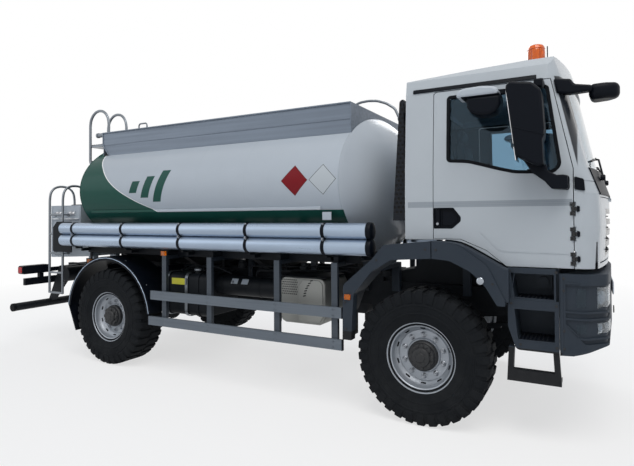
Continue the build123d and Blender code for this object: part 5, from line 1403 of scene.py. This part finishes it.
class TANKER_OT_guards(bpy.types.Operator):
    """Model the end caps and bolts of the side guards and the trims, bolts and flaps of the rear mudguards"""

    bl_idname = "tanker.guards"
    bl_label = "Side guards and mudguards"

    def execute(self, context):
        caps = [side_pad(box_corners(x - 5, x + 5, z0 - 2, z1 + 2), -1232, -1198, 3, 2)
                for z0, z1, rear in ((552, 650, -3202), (845, 945, -3170)) for x in (rear, -725)]
        fit_both("guard_caps", caps, "black")
        bolts = [bolt(at(x, -1224, z), OUT, 8, 6) for x in POSTS for z in (575, 627, 868, 922)]
        fit_both("guard_bolts", bolts, "nut")
        arc = [on_mudguard(math.radians(8 + 164 * index / 18), 722, -1242) for index in range(19)]
        fit_both("mudguard_trim", [rod(arc, 4.5)], "tube")
        stays = [bolt(at(*on_mudguard(angle, 738, -1180)), Vector((math.cos(angle), 0, math.sin(angle))), 9, 6)
                 for angle in (0.6, 1.2, 1.9, 2.5)]
        fit_both("mud_bolts", stays, "nut")
        ribs = [rod([(-4626, y, 680), (-4478, y, 368)], 4) for y in range(-1210, -870, 55)]
        fit_both("flap_ribs", ribs, "black")
        return {"FINISHED"}


class TANKER_OT_cabinet(bpy.types.Operator):
    """Model the rear cabinet's latches, seams, louvres and lock, the bar's ends and the tow coupling"""

    bl_idname = "tanker.cabinet"
    bl_label = "Rear cabinet"

    def execute(self, context):
        bright = []
        for x in (-5210, -4930):
            bright += [side_pad(box_corners(x - 52, x + 62, 1838, 1876), -978, -973, 8, 2),
                       rod([(x - 44, -984, 1857), (x + 30, -984, 1857)], 9),
                       turned([(0, 15), (10, 15), (13, 11)], at(x + 46, -976, 1857), OUT, steps=24)]
        bright.append(rod([(-5350, -972, 1778), (-4787, -972, 1778)], 5))
        fit_both("cabinet_latches", bright, "chrome")
        seams = [side_frame([(-5356, 1260), (-4790, 1300), (-4790, 1950), (-5356, 1950)], 5, -962.5, -959.5, 14, 1)]
        seams += [side_pad(box_corners(-5320, -5160, z, z + 12), -966, -959, 5, 2) for z in range(1420, 1591, 34)]
        fit_both("cabinet_seams", seams, "white")
        top = [bar(-5330, -5120, -700, -300, 1962, 1984, 8), bar(-5080, -4830, -640, -420, 1962, 1978, 6)]
        fit("cabinet_top_box", top, "black")
        lock = [bar(-5419, -5412, -70, 70, 1352, 1362),
                turned([(0, 14), (6, 14), (8, 10)], at(-5400, 0, 1400), BACK, steps=24)]
        fit("hatch_lock", lock, "chrome", "cabinet_hatch")
        end = turned([(0, 50), (-8, 57), (-40, 57)], at(-5925, -1203, 520), OUT, steps=32)
        fit_both("bar_ends", [end], "seal")
        socket = [(-60, ON_AXIS), (-60, 60), (0, 74), (20, 74), (26, 62), (26, 26), (20, 25), (-40, 25),
                  (-44, ON_AXIS)]
        coupling = [lathe(socket, at(-5846, 0, 975), BACK, steps=40)]
        coupling += [bolt(at(-5840, y, z), BACK, 12, 12) for y in (-90, 90) for z in (915, 1035)]
        coupling.append(front_plate(box_corners(-120, 120, 885, 1065), -5848, -5838, 5))
        fit("tow_plate", coupling, "hub")
        return {"FINISHED"}


# ------------------------------------------------------------ inside the cab
CAB_FLOOR = 1640
SEAT_CUSHIONS = (       # (x, height over the floor) corners, half width and crown
    (((75, 275), (610, 275), (620, 372), (75, 356)), 236, 10),
    (((62, 385), (142, 400), (52, 955), (-24, 955)), 226, 8),
    (((30, 985), (50, 1110), (-18, 1110), (-18, 985)), 120, 5),
)
SEAT_BACKS = (
    (((-28, 300), (60, 300), (-10, 960), (-38, 960)), 200, 8),
    (((-20, 940), (10, 940), (10, 1000), (-20, 1000)), 60, 4),
)


def over_floor(corners):
    return [(x, CAB_FLOOR + z) for x, z in corners]


def cushion(corners, y0, y1, puff):
    """Seat pad: a side outline extruded, subdivided and crowned."""
    pad = softened(side_pad(corners, y0, y1, 45, 0), 35, 4, 50)
    finish_modifier(pad, "SUBSURF", levels=1, render_levels=1)
    middle = sum((vertex.co for vertex in pad.data.vertices), Vector()) / len(pad.data.vertices)
    for vertex in pad.data.vertices:
        away = abs(vertex.co.y - middle.y) / (abs(y1 - y0) / 2000)
        vertex.co += (vertex.co - middle).normalized() * (puff / 1000) * max(0.0, 1 - away * away)
    return tidy_mesh(pad, 50)


class TANKER_OT_interior(bpy.types.Operator):
    """Model the seats, dashboard and steering wheel inside the cab"""

    bl_idname = "tanker.interior"
    bl_label = "Cab interior"

    def execute(self, context):
        pads, trim = [], []
        for y in (-520, 520):
            pads += [cushion(over_floor(corners), y - half, y + half, puff)
                     for corners, half, puff in SEAT_CUSHIONS]
            trim.append(bar(130, 550, y - 190, y + 190, CAB_FLOOR + 1, CAB_FLOOR + 262, 14, 3))
            trim += [side_plate(over_floor(corners), y - half, y + half, bevel)
                     for corners, half, bevel in SEAT_BACKS]
            trim.append(rod([(520, y - 250, CAB_FLOOR + 200), (520, y - 250, CAB_FLOOR + 310)], 14))
        seats = joined("seat_pads", pads)
        place(seats, "cab", "fabric", "cab_interior")
        trim.append(side_plate([(884, 2074), (862, 1980), (960, 1762), (1060, 1702), (1060, CAB_FLOOR + 1),
                                (1138, CAB_FLOOR + 1), (1148, 2112)], -1018, 1018, 24, 4))
        hood = [(850, 2110), (905, 2150), (1050, 2128), (1060, 2080), (880, 2060)]
        trim.append(side_plate(hood, 340, 720, 16, 4))
        trim += [front_plate(box_corners(y - 80, y + 80, 1930, 1990), 864, 874, 5)
                 for y in (-760, -420, -80, 180)]
        trim.append(front_plate(box_corners(-130, 130, 1790, 1900), 880, 930, 8))
        fit("cab_trim_parts", trim, "trim", "cab")
        centre = Vector((0, 0, 0))
        angles = [2 * math.pi * index / 12 for index in range(12)]
        section = [(14 * math.sin(angle), 220 + 14 * math.cos(angle)) for angle in angles]
        ring = lathe(section, centre, UP, steps=64, angle=60)
        outline = ((40, -22, -6), (212, -12, -6), (212, 12, -6), (40, 22, -6))
        spoke = plate([Vector(corner) / 1000 for corner in outline], (0, 0, 0.012), 3)
        spokes = ring_of(spoke, 4, centre, "Z")
        hub = turned([(-20, 40), (-6, 58), (8, 62), (18, 52), (22, 20)], centre, UP, steps=40)
        wheel = joined("steering_wheel_detail", [ring, hub, spokes])
        wheel.data.transform(Matrix.Translation(at(690, 520, 2235)) @ Matrix.Rotation(math.radians(-35), 4, "Y"))
        place(wheel, "steering_wheel", "trim", "steering_wheel")
        return {"FINISHED"}


# ------------------------------------------------------------ stage
def area_lamp(name, spot, target, size, power, colour):
    deselect()
    bpy.ops.object.light_add(type="AREA", location=spot)
    lamp = bpy.context.object
    lamp.name = name
    lamp.data.shape = "DISK"
    lamp.data.size = size
    lamp.data.energy = power
    lamp.data.color = colour
    lamp.rotation_euler = (Vector(target) - Vector(spot)).to_track_quat("-Z", "Y").to_euler()


def seen_directly(tree, *rays):
    """1 on the first ray kind or any of the others."""
    path = put(tree, "LightPath").outputs
    seen = Value(tree, path[rays[0]])
    for ray in rays[1:]:
        seen = seen.calc("MAXIMUM", path[ray])
    return seen


def studio_world():
    """Pale blue light on the truck before a white background."""
    world = bpy.data.worlds.new("studio")
    bpy.context.scene.world = world
    world.use_nodes = True
    tree = world.node_tree
    light = tree.nodes["Background"]
    light.inputs[0].default_value = (0.80, 0.88, 1.0, 1)
    light.inputs[1].default_value = 0.34
    white = put(tree, "Background", {0: (1, 1, 1, 1), 1: 1.0})
    seen = seen_directly(tree, "Is Camera Ray", "Is Glossy Ray", "Is Transmission Ray")
    mixed = put(tree, "MixShader", {0: seen, 1: light.outputs[0], 2: white.outputs[0]})
    feed(tree, mixed.outputs[0], tree.nodes["World Output"].inputs[0])


def floor_material(colour):
    """White floor that takes a soft shadow near the truck and fades into the background."""
    material = bpy.data.materials.new("studio_floor")
    material.use_nodes = True
    tree = material.node_tree
    shader = tree.nodes["Principled BSDF"]
    coords = put(tree, "TexCoord").outputs["Object"]
    shade = noise(tree, coords, 0.6, 3.0).ramp(0.3, 0.7, 0.985, 1.0)
    tinted = put(tree, "HueSaturation", {"Color": (*colour, 1), "Value": shade}).outputs[0]
    feed(tree, tinted, shader.inputs["Base Color"])
    shader.inputs["Roughness"].default_value = 0.9
    away = Value(tree, put(tree, "VectorMath", {0: coords}, operation="LENGTH").outputs["Value"])
    white = put(tree, "Emission", {0: (1, 1, 1, 1), 1: 1.0}).outputs[0]
    share = (away.ramp(4.5, 11.0) * 0.35 + 0.65) * seen_directly(tree, "Is Camera Ray", "Is Glossy Ray")
    fade = put(tree, "MixShader", {0: share, 1: shader.outputs[0], 2: white})
    feed(tree, fade.outputs[0], tree.nodes["Material Output"].inputs[0])
    return material


CAMERA_SPOT = (3.5135, -5.4035, 1.7769)
CAMERA_YAW = 28.80              # degrees
CAMERA_PITCH = 0.985
CAMERA_ROLL = -0.334
SENSOR_WIDTH = 36
FOCAL_WIDTHS = 501.5 / 634      # focal length as a share of the picture's width
LAMPS = (       # name, place, target, size, power and colour
    ("key_light", (5.0, -7.0, 12.0), (0, 0, 1.2), 9.0, 960, (1.0, 0.98, 0.95)),
    ("side_light", (-8.0, -8.0, 6.0), (-1, 0, 1.2), 8.0, 120, (0.90, 0.95, 1.0)),
    ("back_light", (-2.0, 9.0, 8.0), (0, 0, 1.2), 8.0, 500, (1.0, 1.0, 1.0)),
)


class TANKER_OT_stage(bpy.types.Operator):
    """Add the floor, the studio lights, the world and the camera"""

    bl_idname = "tanker.stage"
    bl_label = "Stage"

    def execute(self, context):
        scene = context.scene
        scene.view_settings.view_transform = "Standard"
        deselect()
        bpy.ops.mesh.primitive_plane_add(size=90, location=(0, 0, -0.001))
        floor = bpy.context.object
        floor.name = "studio_floor"
        settle(floor)
        floor.data.materials.append(floor_material(scene.tanker_colours.floor_pale))
        studio_world()
        for lamp in LAMPS:
            area_lamp(*lamp)
        bpy.ops.object.camera_add(location=CAMERA_SPOT)
        camera = bpy.context.object
        camera.name = "view_camera"
        yaw, pitch, roll = [math.radians(turn) for turn in (CAMERA_YAW, CAMERA_PITCH, CAMERA_ROLL)]
        ahead = Vector((-math.sin(yaw) * math.cos(pitch), math.cos(yaw) * math.cos(pitch), math.sin(pitch)))
        right = Vector((math.cos(yaw), math.sin(yaw), 0))
        up = right.cross(ahead)
        right, up = right * math.cos(roll) + up * math.sin(roll), up * math.cos(roll) - right * math.sin(roll)
        camera.rotation_euler = Matrix((right, up, -ahead)).transposed().to_euler()
        camera.data.sensor_width = SENSOR_WIDTH
        camera.data.lens = FOCAL_WIDTHS * SENSOR_WIDTH
        camera.data.shift_x = 0.0065
        camera.data.shift_y = -0.0381
        camera.data.clip_end = 200
        scene.camera = camera
        return {"FINISHED"}


class TANKER_OT_finishes(bpy.types.Operator):
    """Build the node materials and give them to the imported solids"""

    bl_idname = "tanker.finishes"
    bl_label = "Finishes"

    def execute(self, context):
        MATERIALS.update(make_materials(context.scene.tanker_colours))
        for key, names in NODE_FINISHES.items():
            for name in names.split():
                node = NODES[name]
                node.data.materials.clear()
                node.data.materials.append(MATERIALS[key])
        return {"FINISHED"}


class TANKER_PT_panel(bpy.types.Panel):
    """Lists the steps that dress the truck"""

    bl_idname = "TANKER_PT_panel"
    bl_label = "Tanker truck finish"
    bl_space_type = "VIEW_3D"
    bl_region_type = "UI"
    bl_category = "Tanker"

    def draw(self, context):
        for group in (context.scene.tanker_colours, context.scene.tanker_sizes):
            for key in group.__annotations__:
                self.layout.prop(group, key)
        for step in STEPS:
            self.layout.operator(step.bl_idname)


STEPS = (
    TANKER_OT_finishes, TANKER_OT_wheels, TANKER_OT_tank, TANKER_OT_hose_tubes, TANKER_OT_coaming,
    TANKER_OT_ladders, TANKER_OT_doors, TANKER_OT_mirrors, TANKER_OT_cab_front, TANKER_OT_lamps,
    TANKER_OT_bumper, TANKER_OT_side_tanks, TANKER_OT_guards, TANKER_OT_cabinet, TANKER_OT_interior,
    TANKER_OT_stage,
)
CLASSES = (TankerColours, TankerSizes) + STEPS + (TANKER_PT_panel,)


def register():
    for each in CLASSES:
        bpy.utils.register_class(each)
    bpy.types.Scene.tanker_colours = bpy.props.PointerProperty(type=TankerColours)
    bpy.types.Scene.tanker_sizes = bpy.props.PointerProperty(type=TankerSizes)


def unregister():
    del bpy.types.Scene.tanker_sizes
    del bpy.types.Scene.tanker_colours
    for each in reversed(CLASSES):
        bpy.utils.unregister_class(each)


def main():
    register()
    for step in STEPS:
        family, name = step.bl_idname.split(".")
        getattr(getattr(bpy.ops, family), name)()


if __name__ == "__main__":
    main()
